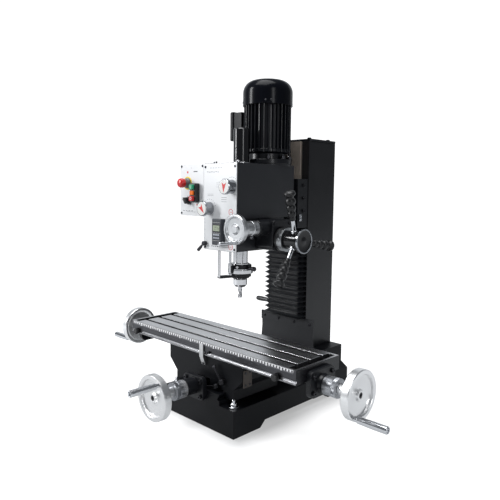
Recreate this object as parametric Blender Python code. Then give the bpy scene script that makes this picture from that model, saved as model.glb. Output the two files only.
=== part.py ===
"""A bench milling machine: dovetail column, tilting gear head, cross table on a saddle. Metres, +Z up."""

import math

import bmesh
import bpy
from mathutils import Matrix, Vector

mm = 0.001
GAP = 0.3 * mm  # between faces that touch
RUN = 0.35 * mm  # between faces that slide or turn on each other
UNDERCUT = math.tan(math.radians(30))  # run of a dovetail flank for each unit of its height

# Base. The spindle's axis is X = 0, Y = 0, and the floor is Z = 0, until the root moves the machine.
BASE_HALF = 150 * mm
BASE_FRONT, BASE_BACK = -169.5 * mm, 368 * mm
BASE_LEDGE = 77 * mm
BASE_WALL = 16 * mm
BASE_CEILING = 60 * mm
FOOT_LENGTH, FOOT_RISE, FOOT_SLOPE = 107 * mm, 18 * mm, 20 * mm
CORNER_PAD = 48 * mm
WAY_HALF, WAY_TOP, WAY_NECK = 93 * mm, 108 * mm, 92 * mm
RISER_HALF, RISER_FRONT, RISER_TOP, RISER_FLARE = 124 * mm, 225 * mm, 150 * mm, 94 * mm
TROUGH_HALF, TROUGH_FLOOR, TROUGH_BACK = 26 * mm, 84 * mm, 205 * mm

# Saddle.
SADDLE_HALF, SADDLE_FRONT, SADDLE_BACK = 158 * mm, -145 * mm, 38 * mm
SADDLE_SIDE_FOOT, SADDLE_SKIRT_HALF, SADDLE_SKIRT_TOP = 155 * mm, 124 * mm, 122 * mm
Y_CHANNEL_TOP = 132 * mm

# Table.
TABLE_HALF, TABLE_WIDTH, TABLE_Y = 350 * mm, 180 * mm, -65 * mm
TABLE_TOP, TABLE_BOTTOM = 237.4 * mm, 199.4 * mm
SLIDE_NECK_HALF, SLIDE_RISE = 34.5 * mm, 12.6 * mm
SLOT_PITCH, SLOT_WIDTH, SLOT_NECK = 52 * mm, 12 * mm, 11 * mm
SLOT_FOOT_WIDTH, SLOT_FOOT = 20 * mm, 7 * mm
SLOT_HALF_LENGTH = TABLE_HALF - 24 * mm
SUMP_INNER, SUMP_OUTER, SUMP_DEPTH, SUMP_RIM = TABLE_HALF - 30 * mm, TABLE_HALF - 8 * mm, 13 * mm, 7 * mm
STOP_GROOVE_Z, STOP_GROOVE_WIDTH, STOP_GROOVE_DEPTH = 207 * mm, 6 * mm, 4 * mm

# Feed screws, dials and handwheels.
SCREW_RADIUS, JOURNAL_RADIUS = 9 * mm, 7 * mm
X_SCREW_Z, X_CHANNEL_HALF, X_CHANNEL_FLOOR = 187 * mm, 20 * mm, 165 * mm
NUT_LENGTH, NUT_HALF = 40 * mm, 19.5 * mm
BRACKET_THICK, BRACKET_HALF = 15 * mm, 52 * mm
BRACKET_RISE, BRACKET_DROP, BRACKET_ROUND = 40 * mm, 30 * mm, 18 * mm
BOSS_RADIUS, BOSS_LENGTH = 24 * mm, 11 * mm
DIAL_RADIUS, X_DIAL_LENGTH, Y_DIAL_LENGTH = 25 * mm, 39 * mm, 38 * mm
WHEEL_RADIUS, WHEEL_RIM, WHEEL_RIM_WIDTH, WHEEL_WEB = 63 * mm, 13 * mm, 22 * mm, 6 * mm
HUB_RADIUS = 14 * mm
X_WHEEL_RIGHT, X_WHEEL_LEFT, Y_WHEEL = TABLE_HALF + 119 * mm, TABLE_HALF + 91 * mm, -318 * mm
CRANK_RADIUS, X_CRANK_TURN, Y_CRANK_TURN = 52 * mm, 235, 54
GRIP_LENGTH, GRIP_RADIUS, GRIP_NECK, GRIP_STEM = 76 * mm, 9.5 * mm, 6 * mm, 12 * mm
Y_SCREW_Z = 116 * mm
Y_BRACKET_HALF, Y_BRACKET_BOTTOM, Y_BRACKET_TOP, Y_BOSS_LENGTH = 42 * mm, 79 * mm, 145 * mm, 36 * mm
Y_SCREW_BACK = 190 * mm

# Small pieces on the saddle and the table.
POINTER_HALF, POINTER_BOTTOM, POINTER_THICK = 8 * mm, 168 * mm, 4 * mm
POINTER_X = 5 * mm
STOP_X, STOP_RADIUS, STOP_LENGTH = TABLE_HALF - 62 * mm, 9 * mm, 13 * mm
LOCKS = {
    "table_lock_lever": (86 * mm, 139 * mm, 128),
    "saddle_lock_lever": (SCREW_RADIUS + 54 * mm, 121 * mm, 193),
}
LOCK_BOSS, LOCK_BOSS_LENGTH = 8 * mm, 15 * mm
LOCK_ARM, LOCK_ARM_RADIUS, LOCK_KNOB = 46 * mm, 3.2 * mm, 5.5 * mm

# Column and its slide.
COLUMN_HALF, COLUMN_FRONT, COLUMN_BACK, COLUMN_WALL = 78 * mm, 226 * mm, 366 * mm, 11 * mm
COLUMN_TOP = 828 * mm
COLUMN_WAY_DEPTH, COLUMN_WAY_HALF, COLUMN_SLOT_HALF = 22 * mm, 62 * mm, 20 * mm
SLOT_LOW, SLOT_HIGH = 262 * mm, 800 * mm
CAP_THICK, CAP_OVERHANG = 7 * mm, 2 * mm
Z_SCREW_Y, Z_SCREW_LOW = 222 * mm, 264 * mm
SLIDE_HALF, SLIDE_FRONT, SLIDE_LOW, SLIDE_HIGH = 76 * mm, 175 * mm, 552 * mm, 707 * mm
BELLOWS_HALF, BELLOWS_FRONT, BELLOWS_FOLD, BELLOWS_FOLDS, BELLOWS_WALL = 76 * mm, 195 * mm, 4 * mm, 18, 2 * mm
BELLOWS_LOW = 254 * mm
APRON_HALF, APRON_LOW, APRON_THICK, APRON_BAND, APRON_BAND_THICK = 113 * mm, 112 * mm, 3 * mm, 30 * mm, 6 * mm
APRON_FLARE = 5 * mm
Z_CRANK_Y, Z_CRANK_Z, Z_CRANK_REACH = 296 * mm, 360 * mm, 86 * mm
Z_CRANK_TURN, Z_CRANK_HUB, Z_CRANK_ARM = 246, 34 * mm, 7 * mm

# Head.
HEAD_HALF, HEAD_FRONT, HEAD_BACK = 70 * mm, -84 * mm, 162 * mm
HEAD_LOW, HEAD_STEP, HEAD_TOP = 493 * mm, 589 * mm, 747 * mm
LOWER_HALF, LOWER_BACK = 60 * mm, 128 * mm
TILT_Z, TILT_RADIUS = 629 * mm, 66 * mm
GEAR_FLOOR, GEAR_ROOF, GEAR_WALL = 612 * mm, 737 * mm, 15 * mm
PANEL_THICK = 2.5 * mm
BOX_LEFT, BOX_DEPTH, BOX_WALL = -181 * mm, 62 * mm, 3 * mm
QUILL_RADIUS, QUILL_LOW, QUILL_HIGH = 22 * mm, 430 * mm, 640 * mm
QUILL_TRAVEL = 50 * mm
SPINDLE_RADIUS, SPINDLE_HIGH = 14 * mm, 708 * mm
NOSE_RADIUS, NOSE_LOW, NOSE_HIGH = 21 * mm, 378 * mm, 402 * mm
CUTTER_RADIUS, CUTTER_LOW, SHANK_HIGH = 6.5 * mm, 343.5 * mm, 400 * mm
COLLAR_RADIUS, COLLAR_LOW, COLLAR_HIGH = 32 * mm, 405 * mm, 447 * mm
SCALE_BAR_Y, SCALE_BAR_X, SCALE_BAR_HIGH = -76 * mm, -12 * mm, 590 * mm
DEPTH_ROD_Y, DEPTH_ROD_RADIUS = -43 * mm, 4 * mm
GEAR_LOW, GEAR_HIGH, GEAR_TEETH, GEAR_TOOTH, GEAR_ROOM = 650 * mm, 668 * mm, 32, 4 * mm, 1 * mm

# Quill feed, on the right of the head.
FEED_Y, FEED_Z = 36 * mm, 529 * mm
PINION_RADIUS, FEED_SHAFT = FEED_Y - QUILL_RADIUS - 2 * RUN, 9 * mm
HOUSING_RIGHT, HOUSING_FRONT, HOUSING_BACK = 131 * mm, -2 * mm, 84 * mm
HOUSING_LOW, HOUSING_HIGH = 497 * mm, 586 * mm
WORM_X, WORM_Z, WORM_BOSS, WORM_BOSS_FRONT = 100 * mm, 563 * mm, 23 * mm, -42 * mm
WORM_WHEEL, WORM_RADIUS = 24 * mm, 8.5 * mm
FEED_DIAL_RADIUS, FEED_DIAL_LENGTH = 35 * mm, 27 * mm
FEED_HUB_RADIUS, FEED_HUB_LENGTH, CLUTCH_RADIUS, CLUTCH_LENGTH = 27 * mm, 46 * mm, 35 * mm, 12 * mm
LEVER_TURNS, LEVER_TILT, LEVER_REACH, LEVER_ROD = (111, 231, 351), 8, 152 * mm, 6 * mm
LEVER_GRIP, LEVER_GRIP_SMALL, LEVER_GRIP_LARGE = 88 * mm, 11 * mm, 15.5 * mm
FINE_WHEEL_RADIUS, FINE_WHEEL_Y, FINE_WHEEL_WIDTH = 42 * mm, -118 * mm, 16 * mm
FINE_DIAL_RADIUS, FINE_TURN, FINE_GRIP, FINE_GRIP_RADIUS = 21 * mm, 286, 60 * mm, 5 * mm

# Motor.
MOTOR_Y, MOTOR_RADIUS, MOTOR_FIN, MOTOR_FINS = 113 * mm, 73.5 * mm, 9 * mm, 32
FLANGE_RADIUS, FLANGE_HIGH, FINS_LOW, FINS_HIGH = 78 * mm, 764 * mm, 795 * mm, 932 * mm
BORE_RADIUS, BORE_LOW, BORE_HIGH = 44 * mm, 800 * mm, 915 * mm
ROTOR_SHAFT, ROTOR_CORE, MOTOR_PINION = 9 * mm, 42 * mm, 47.5 * mm
GEAR_RADIUS = MOTOR_Y - MOTOR_PINION - 2 * RUN
FAN_RADIUS, FAN_THICK = 62 * mm, 18 * mm
COVER_RADIUS, COVER_HIGH, COVER_WALL, COVER_LAP, COVER_ROUND = 77 * mm, 1006 * mm, 2.5 * mm, 4 * mm, 38 * mm
TERMINAL_LEFT, TERMINAL_HALF, TERMINAL_LOW, TERMINAL_HIGH = -122 * mm, 45 * mm, 826 * mm, 918 * mm
DRAWBAR_RADIUS, DRAWBAR_HIGH = 24 * mm, 852 * mm

# Controls on the front panel: centre X, centre Z.
STOP_BUTTON_AT, STOP_BUTTON_RADIUS, STOP_FOOT, STOP_NECK = (-145 * mm, 689 * mm), 14 * mm, 14 * mm, 8 * mm
SWITCH_AT, SWITCH_HALF, SWITCH_RISE, SWITCH_DEPTH = (-101 * mm, 660 * mm), 13 * mm, 29 * mm, 18 * mm
BUTTON_HALF, BUTTON_RISE, BUTTON_OFFSET, BUTTON_PROUD = 8 * mm, 7.5 * mm, 17 * mm, 8 * mm
SELECTOR_AT, SELECTOR_RADIUS, SELECTOR_DEPTH = (-137 * mm, 636 * mm), 12 * mm, 22 * mm
KNOBS = {"speed_knob_upper": (50 * mm, 679 * mm), "speed_knob_lower": (-44 * mm, 615 * mm)}
KNOB_RADIUS, KNOB_DEPTH = 22 * mm, 31 * mm
DISPLAY_AT, DISPLAY_HALF, DISPLAY_RISE, DISPLAY_DEPTH = (6 * mm, 549 * mm), 19 * mm, 38 * mm, 18 * mm
QUILL_LOCK_AT = (-60 * mm, 511 * mm)
PRESS = 3 * mm

ROUND, SMALL = 32, 16  # sides of large and small turned pieces

GRIP_REACH = GRIP_STEM + GRIP_LENGTH + GAP
X_REACH_RIGHT = X_WHEEL_RIGHT + WHEEL_RIM_WIDTH / 2 + GRIP_REACH
X_REACH_LEFT = X_WHEEL_LEFT + WHEEL_RIM_WIDTH / 2 + GRIP_REACH
Y_REACH = -Y_WHEEL + WHEEL_RIM_WIDTH / 2 + GRIP_REACH
Y_BACK = max(BASE_BACK, COLUMN_BACK + CAP_OVERHANG)

MATERIALS = {
    "black_iron": ((0.012, 0.012, 0.014), 0.35, 0.0),
    "ground_steel": ((0.62, 0.63, 0.65), 0.28, 1.0),
    "polished_aluminium": ((0.80, 0.81, 0.82), 0.22, 1.0),
    "chrome": ((0.78, 0.79, 0.80), 0.10, 1.0),
    "bright_steel": ((0.55, 0.56, 0.58), 0.30, 1.0),
    "bronze": ((0.55, 0.36, 0.16), 0.40, 1.0),
    "black_plastic": ((0.010, 0.010, 0.011), 0.45, 0.0),
    "black_rubber": ((0.016, 0.016, 0.017), 0.75, 0.0),
    "silver_panel": ((0.74, 0.75, 0.77), 0.40, 0.3),
    "red_plastic": ((0.60, 0.02, 0.02), 0.35, 0.0),
    "green_plastic": ((0.01, 0.36, 0.18), 0.35, 0.0),
    "glossy_black": ((0.010, 0.010, 0.012), 0.15, 0.0),
}


def material(name):
    made = bpy.data.materials.get(name)
    if made is None:
        colour, roughness, metallic = MATERIALS[name]
        made = bpy.data.materials.new(name)
        made.use_nodes = True
        shader = made.node_tree.nodes["Principled BSDF"]
        shader.inputs["Base Color"].default_value = (*colour, 1)
        shader.inputs["Roughness"].default_value = roughness
        shader.inputs["Metallic"].default_value = metallic
    return made


def mesh_of(name, bm):
    bmesh.ops.recalc_face_normals(bm, faces=bm.faces[:])
    mesh = bpy.data.meshes.new(name)
    bm.to_mesh(mesh)
    bm.free()
    return mesh


def node(name, bm, finish, at=(0, 0, 0), smooth=True):
    """A sub-part whose origin is at the given point, with its mesh drawn in the machine's coordinates."""
    bmesh.ops.translate(bm, verts=bm.verts[:], vec=-Vector(at))
    mesh = mesh_of(name, bm)
    mesh.materials.append(material(finish))
    if smooth:
        mesh.shade_smooth()
        mesh.set_sharp_from_angle(angle=math.radians(35))
    made = bpy.data.objects.new(name, mesh)
    made.location = at
    made.parent = root
    bpy.context.scene.collection.objects.link(made)
    return made


def boolean(target, bm, operation):
    """Joins a shape to a sub-part or cuts it away, with a helper that isn't rendered."""
    count = len(target.modifiers) + 1
    helper = bpy.data.objects.new(f"{target.name}_helper_{count}", mesh_of(target.name, bm))
    helper.parent = root
    helper.hide_render = True
    helper.display_type = "WIRE"
    bpy.context.scene.collection.objects.link(helper)
    modifier = target.modifiers.new(f"{operation.lower()}_{count}", "BOOLEAN")
    modifier.operation = operation
    modifier.solver = "EXACT"
    modifier.object = helper


def join(target, *shapes):
    for shape in shapes:
        boolean(target, shape, "UNION")


def cut(target, *shapes):
    for shape in shapes:
        boolean(target, shape, "DIFFERENCE")


PLANES = {"X": (1, 2, 0), "Y": (0, 2, 1), "Z": (0, 1, 2)}


def point(axis, first, second, along):
    """A point from two coordinates across an axis, in the order X, Y, Z, and one along it."""
    a, b, c = PLANES[axis]
    place = [0.0, 0.0, 0.0]
    place[a], place[b], place[c] = first, second, along
    return place


def prism(outline, axis, low, high):
    """An outline in the plane across an axis, extruded along that axis."""
    bm = bmesh.new()
    face = bm.faces.new([bm.verts.new(point(axis, u, v, low)) for u, v in outline])
    grown = bmesh.ops.extrude_face_region(bm, geom=[face])["geom"]
    moved = [e for e in grown if isinstance(e, bmesh.types.BMVert)]
    bmesh.ops.translate(bm, verts=moved, vec=point(axis, 0, 0, high - low))
    return bm


def block(x, y, z):
    return prism([(x[0], y[0]), (x[1], y[0]), (x[1], y[1]), (x[0], y[1])], "Z", *z)


def turned(profile, axis, centre, steps=ROUND):
    """A profile of (along, radius) points revolved about an axis through a centre across that axis."""
    bm = bmesh.new()
    verts = [bm.verts.new(point(axis, centre[0] + r, centre[1], along)) for along, r in profile]
    edges = [bm.edges.new(pair) for pair in zip(verts, verts[1:] + verts[:1])]
    direction = point(axis, 0, 0, 1)
    bmesh.ops.spin(
        bm, geom=verts + edges, cent=point(axis, *centre, 0), axis=direction,
        angle=math.tau, steps=steps, use_merge=True, use_duplicate=False,
    )
    bmesh.ops.remove_doubles(bm, verts=bm.verts[:], dist=1e-6)
    loose = [f for f in bm.faces if f.calc_area() < 1e-12]
    bmesh.ops.delete(bm, geom=loose, context="FACES")
    wires = [e for e in bm.edges if not e.link_faces]
    bmesh.ops.delete(bm, geom=wires, context="EDGES")
    return bm


def disc(radius, axis, centre, low, high, steps=ROUND):
    return turned([(low, 0), (low, radius), (high, radius), (high, 0)], axis, centre, steps)


def ring(outer, inner, axis, centre, low, high, steps=ROUND):
    return turned([(low, inner), (low, outer), (high, outer), (high, inner)], axis, centre, steps)


def rounded(x, y, radius, steps=5):
    """The outline of a rectangle with round corners."""
    corners = ((x[1], y[1], 0), (x[0], y[1], 90), (x[0], y[0], 180), (x[1], y[0], 270))
    outline = []
    for cx, cy, start in corners:
        px = cx - math.copysign(radius, cx - (x[0] + x[1]) / 2)
        py = cy - math.copysign(radius, cy - (y[0] + y[1]) / 2)
        for i in range(steps + 1):
            turn = math.radians(start + 90 * i / steps)
            outline.append((px + radius * math.cos(turn), py + radius * math.sin(turn)))
    return outline


def gear(radius, depth, teeth, axis, centre, low, high):
    """A spur gear: four points to a tooth."""
    outline = []
    for i in range(teeth * 4):
        turn = math.tau * (i + 0.5) / (teeth * 4)
        r = radius if i % 4 < 2 else radius - depth
        outline.append((centre[0] + r * math.cos(turn), centre[1] + r * math.sin(turn)))
    return prism(outline, axis, low, high)


def spun(bm, angle, axis, centre):
    bmesh.ops.rotate(bm, verts=bm.verts[:], cent=centre, matrix=Matrix.Rotation(angle, 3, axis))
    return bm


def across(turn, radius):
    return radius * math.cos(math.radians(turn)), radius * math.sin(math.radians(turn))


def ways(half, neck_z, top_z, centre=0.0):
    """The two ends of each flank of a male dovetail, left to right."""
    narrow = half - (top_z - neck_z) * UNDERCUT
    return (centre - narrow, centre - half, centre + half, centre + narrow)


def base():
    arch = [
        (BASE_FRONT, 0), (BASE_FRONT + FOOT_LENGTH, 0), (BASE_FRONT + FOOT_LENGTH + FOOT_SLOPE, FOOT_RISE),
        (BASE_BACK - FOOT_LENGTH - FOOT_SLOPE, FOOT_RISE), (BASE_BACK - FOOT_LENGTH, 0), (BASE_BACK, 0),
        (BASE_BACK, BASE_LEDGE), (BASE_FRONT, BASE_LEDGE),
    ]
    made = node("base", prism(arch, "X", -BASE_HALF, BASE_HALF), "black_iron", smooth=False)
    left, wide_left, wide_right, right = ways(WAY_HALF, WAY_NECK, WAY_TOP)
    middle = BASE_LEDGE - FOOT_RISE / 2
    way = [
        (-WAY_HALF, middle), (WAY_HALF, middle), (WAY_HALF, WAY_NECK - 2 * mm), (right, WAY_NECK),
        (wide_right, WAY_TOP), (wide_left, WAY_TOP), (left, WAY_NECK), (-WAY_HALF, WAY_NECK - 2 * mm),
    ]
    riser = [
        (-BASE_HALF + 1 * mm, middle), (BASE_HALF - 1 * mm, middle), (BASE_HALF - 1 * mm, BASE_LEDGE),
        (RISER_HALF, RISER_FLARE), (RISER_HALF, RISER_TOP), (-RISER_HALF, RISER_TOP),
        (-RISER_HALF, RISER_FLARE), (-BASE_HALF + 1 * mm, BASE_LEDGE),
    ]
    join(made, prism(way, "Y", BASE_FRONT, RISER_FRONT + 5 * mm), prism(riser, "Y", RISER_FRONT, BASE_BACK))
    inner, pad = BASE_HALF - BASE_WALL, BASE_HALF - CORNER_PAD
    front, back = BASE_FRONT + BASE_WALL, BASE_BACK - BASE_WALL
    under = [
        (-pad, front), (pad, front), (pad, BASE_FRONT + CORNER_PAD), (inner, BASE_FRONT + CORNER_PAD),
        (inner, BASE_BACK - CORNER_PAD), (pad, BASE_BACK - CORNER_PAD), (pad, back), (-pad, back),
        (-pad, BASE_BACK - CORNER_PAD), (-inner, BASE_BACK - CORNER_PAD), (-inner, BASE_FRONT + CORNER_PAD),
        (-pad, BASE_FRONT + CORNER_PAD),
    ]
    cut(
        made,
        prism(under, "Z", -5 * mm, BASE_CEILING),
        block(
            (-TROUGH_HALF, TROUGH_HALF), (BASE_FRONT - 5 * mm, TROUGH_BACK),
            (TROUGH_FLOOR, WAY_TOP + 5 * mm),
        ),
    )


def saddle():
    left, wide_left, wide_right, right = ways(WAY_HALF + RUN, WAY_NECK, WAY_TOP)
    body = [
        (-SADDLE_SKIRT_HALF, WAY_NECK + GAP), (left, WAY_NECK + GAP), (wide_left, WAY_TOP + GAP),
        (wide_right, WAY_TOP + GAP), (right, WAY_NECK + GAP), (SADDLE_SKIRT_HALF, WAY_NECK + GAP),
        (SADDLE_SKIRT_HALF, SADDLE_SKIRT_TOP), (SADDLE_HALF, SADDLE_SIDE_FOOT),
        (SADDLE_HALF, TABLE_BOTTOM - GAP), (-SADDLE_HALF, TABLE_BOTTOM - GAP),
        (-SADDLE_HALF, SADDLE_SIDE_FOOT), (-SADDLE_SKIRT_HALF, SADDLE_SKIRT_TOP),
    ]
    made = node("saddle", prism(body, "Y", SADDLE_FRONT, SADDLE_BACK), "black_iron", smooth=False)
    top = TABLE_BOTTOM + SLIDE_RISE
    back, wide_back, wide_front, front = ways(
        SLIDE_NECK_HALF + SLIDE_RISE * UNDERCUT, TABLE_BOTTOM, top, TABLE_Y
    )
    rail = [
        (back, TABLE_BOTTOM - GAP), (wide_back, top - GAP), (wide_front, top - GAP), (
            front, TABLE_BOTTOM - GAP
        ),
        (front, TABLE_BOTTOM - 9 * mm), (back, TABLE_BOTTOM - 9 * mm),
    ]
    join(made, prism(rail, "X", -SADDLE_HALF, SADDLE_HALF))
    reach = SADDLE_HALF + 5 * mm
    cut(
        made,
        block(
            (-reach, reach), (TABLE_Y - X_CHANNEL_HALF, TABLE_Y + X_CHANNEL_HALF),
            (X_CHANNEL_FLOOR, top + 5 * mm),
        ),
        block(
            (-TROUGH_HALF, TROUGH_HALF), (SADDLE_FRONT - 5 * mm, SADDLE_BACK + 5 * mm),
            (WAY_TOP - 5 * mm, Y_CHANNEL_TOP),
        ),
    )


def table():
    front, back = TABLE_Y - TABLE_WIDTH / 2, TABLE_Y + TABLE_WIDTH / 2
    roof = TABLE_BOTTOM + SLIDE_RISE
    near, wide_near, wide_far, far = ways(
        SLIDE_NECK_HALF + SLIDE_RISE * UNDERCUT + RUN, TABLE_BOTTOM, roof, TABLE_Y
    )
    low, high = STOP_GROOVE_Z - STOP_GROOVE_WIDTH / 2, STOP_GROOVE_Z + STOP_GROOVE_WIDTH / 2
    section = [
        (front, TABLE_BOTTOM), (near, TABLE_BOTTOM), (wide_near, roof), (wide_far, roof), (
            far, TABLE_BOTTOM
        ),
        (back, TABLE_BOTTOM), (back, TABLE_TOP), (front, TABLE_TOP), (front, high),
        (front + STOP_GROOVE_DEPTH, high), (front + STOP_GROOVE_DEPTH, low), (front, low),
    ]
    made = node("table", prism(section, "X", -TABLE_HALF, TABLE_HALF), "ground_steel", smooth=False)
    above, shoulder = TABLE_TOP + 5 * mm, TABLE_TOP - SLOT_NECK
    foot = shoulder - SLOT_FOOT
    for i in (-1, 0, 1):
        y = TABLE_Y + i * SLOT_PITCH
        slot = [
            (y - SLOT_WIDTH / 2, above), (y - SLOT_WIDTH / 2, shoulder), (
                y - SLOT_FOOT_WIDTH / 2, shoulder
            ),
            (y - SLOT_FOOT_WIDTH / 2, foot), (y + SLOT_FOOT_WIDTH / 2, foot), (
                y + SLOT_FOOT_WIDTH / 2, shoulder
            ),
            (y + SLOT_WIDTH / 2, shoulder), (y + SLOT_WIDTH / 2, above),
        ]
        cut(made, prism(slot, "X", -SLOT_HALF_LENGTH, SLOT_HALF_LENGTH))
    for side in (-1, 1):
        ends = sorted((side * SUMP_INNER, side * SUMP_OUTER))
        cut(made, block(ends, (front + SUMP_RIM, back - SUMP_RIM), (TABLE_TOP - SUMP_DEPTH, above)))


def end_bracket(side, name):
    """A casting on each end of the table that carries the cross screw."""
    face = TABLE_HALF + GAP
    outline = rounded(
        (TABLE_Y - BRACKET_HALF, TABLE_Y + BRACKET_HALF),
        (X_SCREW_Z - BRACKET_DROP, X_SCREW_Z + BRACKET_RISE), BRACKET_ROUND,
    )
    ends = sorted((side * face, side * (face + BRACKET_THICK)))
    made = node(name, prism(outline, "X", *ends), "black_iron")
    boss = sorted((side * (face + BRACKET_THICK - 3 * mm), side * (face + BRACKET_THICK + BOSS_LENGTH)))
    join(made, disc(BOSS_RADIUS, "X", (TABLE_Y, X_SCREW_Z), *boss))
    bore = sorted((side * (face - 5 * mm), side * (face + 50 * mm)))
    cut(made, disc(JOURNAL_RADIUS + RUN, "X", (TABLE_Y, X_SCREW_Z), *bore, SMALL))


BOSS_END = TABLE_HALF + GAP + BRACKET_THICK + BOSS_LENGTH


def wheel_profile(start, rim, radius=WHEEL_RADIUS, width=WHEEL_RIM_WIDTH, side=1):
    """Half a dished handwheel: a bored hub, a web near the rim's inner edge and a rounded rim."""
    near, far = rim - side * width / 2, rim + side * width / 2
    inner, web = radius - WHEEL_RIM, near + side * (width / 2 - WHEEL_WEB / 2)
    end = far - side * 4 * mm
    bore = JOURNAL_RADIUS + RUN
    return [
        (start, bore), (start, HUB_RADIUS), (web, HUB_RADIUS + 4 * mm), (web, inner), (
            near, inner + 3 * mm
        ),
        (near, radius - 3 * mm), (near + side * 3 * mm, radius), (far - side * 3 * mm, radius),
        (far, radius - 3 * mm), (far, inner + 3 * mm), (web + side * WHEEL_WEB, inner),
        (web + side * WHEEL_WEB, HUB_RADIUS + 4 * mm), (end, HUB_RADIUS), (end, bore),
    ]


def grip(start, side, length=GRIP_LENGTH, radius=GRIP_RADIUS, stem=GRIP_STEM):
    """A turned crank handle on its stem, thickest past its middle."""
    profile = [(start, 0), (start, GRIP_NECK), (start + side * stem, GRIP_NECK)]
    for share, size in ((0, 0.78), (0.25, 0.9), (0.6, 1.0), (0.9, 0.92), (1.0, 0.6)):
        profile.append((start + side * (stem + share * length), radius * size))
    return profile + [(start + side * (stem + length), 0)]


def table_feed():
    """The cross screw with its nut, dial, two handwheels and their crank handles."""
    axis = (TABLE_Y, X_SCREW_Z)
    here = (0, *axis)
    face = TABLE_HALF + 12 * mm
    left, right = -X_WHEEL_LEFT - 3 * mm, X_WHEEL_RIGHT + 3 * mm
    screw = [
        (left, 0), (left, JOURNAL_RADIUS), (-TABLE_HALF, JOURNAL_RADIUS), (-TABLE_HALF, SCREW_RADIUS),
        (TABLE_HALF, SCREW_RADIUS), (TABLE_HALF, JOURNAL_RADIUS), (right, JOURNAL_RADIUS), (right, 0),
    ]
    node("table_screw", turned(screw, "X", axis, SMALL), "bright_steel", here)
    nut = node(
        "table_screw_nut",
        block(
            (-NUT_LENGTH / 2, NUT_LENGTH / 2), (TABLE_Y - NUT_HALF, TABLE_Y + NUT_HALF),
            (X_CHANNEL_FLOOR + GAP, TABLE_BOTTOM - 1 * mm),
        ),
        "bronze", smooth=False,
    )
    cut(nut, disc(SCREW_RADIUS + RUN, "X", axis, -face, face, SMALL))
    dial_end = BOSS_END + RUN + X_DIAL_LENGTH
    node(
        "table_dial", ring(DIAL_RADIUS, JOURNAL_RADIUS + RUN, "X", axis, BOSS_END + RUN, dial_end),
        "bright_steel", here,
    )
    starts = {1: dial_end + GAP, -1: -(BOSS_END + RUN)}
    rims = {1: X_WHEEL_RIGHT, -1: -X_WHEEL_LEFT}
    for side, name in ((1, "right"), (-1, "left")):
        rim = rims[side]
        profile = wheel_profile(starts[side], rim, side=side)
        node(f"table_handwheel_{name}", turned(profile, "X", axis), "polished_aluminium", here)
        y, z = across(X_CRANK_TURN, CRANK_RADIUS + 4 * mm)
        centre = (TABLE_Y + y, X_SCREW_Z + z)
        start = rim + side * (WHEEL_RIM_WIDTH / 2 + GAP)
        node(
            f"table_crank_handle_{name}", turned(grip(start, side), "X", centre, SMALL), "chrome",
            (start, *centre),
        )


def saddle_feed():
    """The long screw under the saddle with its bracket, nut, dial, handwheel and crank handle."""
    axis = (0, Y_SCREW_Z)
    here = (0, Y_WHEEL, Y_SCREW_Z)
    plate_front = BASE_FRONT - GAP - BRACKET_THICK
    boss_end = plate_front - Y_BOSS_LENGTH
    screw = [
        (Y_WHEEL - 3 * mm, 0), (Y_WHEEL - 3 * mm, JOURNAL_RADIUS), (BASE_FRONT, JOURNAL_RADIUS),
        (BASE_FRONT, SCREW_RADIUS), (Y_SCREW_BACK, SCREW_RADIUS), (Y_SCREW_BACK, 0),
    ]
    node("saddle_screw", turned(screw, "Y", axis, SMALL), "bright_steel", here)
    middle = (SADDLE_FRONT + SADDLE_BACK) / 2
    nut = node(
        "saddle_screw_nut",
        block(
            (-NUT_HALF, NUT_HALF), (middle - NUT_LENGTH / 2, middle + NUT_LENGTH / 2),
            (Y_SCREW_Z - 18 * mm, Y_CHANNEL_TOP - GAP),
        ),
        "bronze", smooth=False,
    )
    cut(nut, disc(SCREW_RADIUS + RUN, "Y", axis, BASE_FRONT, Y_SCREW_BACK, SMALL))
    outline = rounded((-Y_BRACKET_HALF, Y_BRACKET_HALF), (Y_BRACKET_BOTTOM, Y_BRACKET_TOP), 12 * mm)
    bracket = node("saddle_screw_bracket", prism(outline, "Y", plate_front, BASE_FRONT - GAP), "black_iron")
    join(bracket, disc(BOSS_RADIUS, "Y", axis, boss_end, plate_front + 3 * mm))
    cut(bracket, disc(JOURNAL_RADIUS + RUN, "Y", axis, boss_end - 5 * mm, BASE_FRONT + 5 * mm, SMALL))
    dial_start = boss_end - RUN
    dial_end = dial_start - Y_DIAL_LENGTH
    node(
        "saddle_dial", ring(DIAL_RADIUS, JOURNAL_RADIUS + RUN, "Y", axis, dial_end, dial_start),
        "bright_steel", here,
    )
    profile = wheel_profile(dial_end - GAP, Y_WHEEL, side=-1)
    node("saddle_handwheel", turned(profile, "Y", axis), "polished_aluminium", here)
    x, z = across(Y_CRANK_TURN, CRANK_RADIUS + 4 * mm)
    start = Y_WHEEL - WHEEL_RIM_WIDTH / 2 - GAP
    centre = (x, Y_SCREW_Z + z)
    node(
        "saddle_crank_handle", turned(grip(start, -1), "Y", centre, SMALL), "chrome",
        (x, start, Y_SCREW_Z + z),
    )


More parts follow.
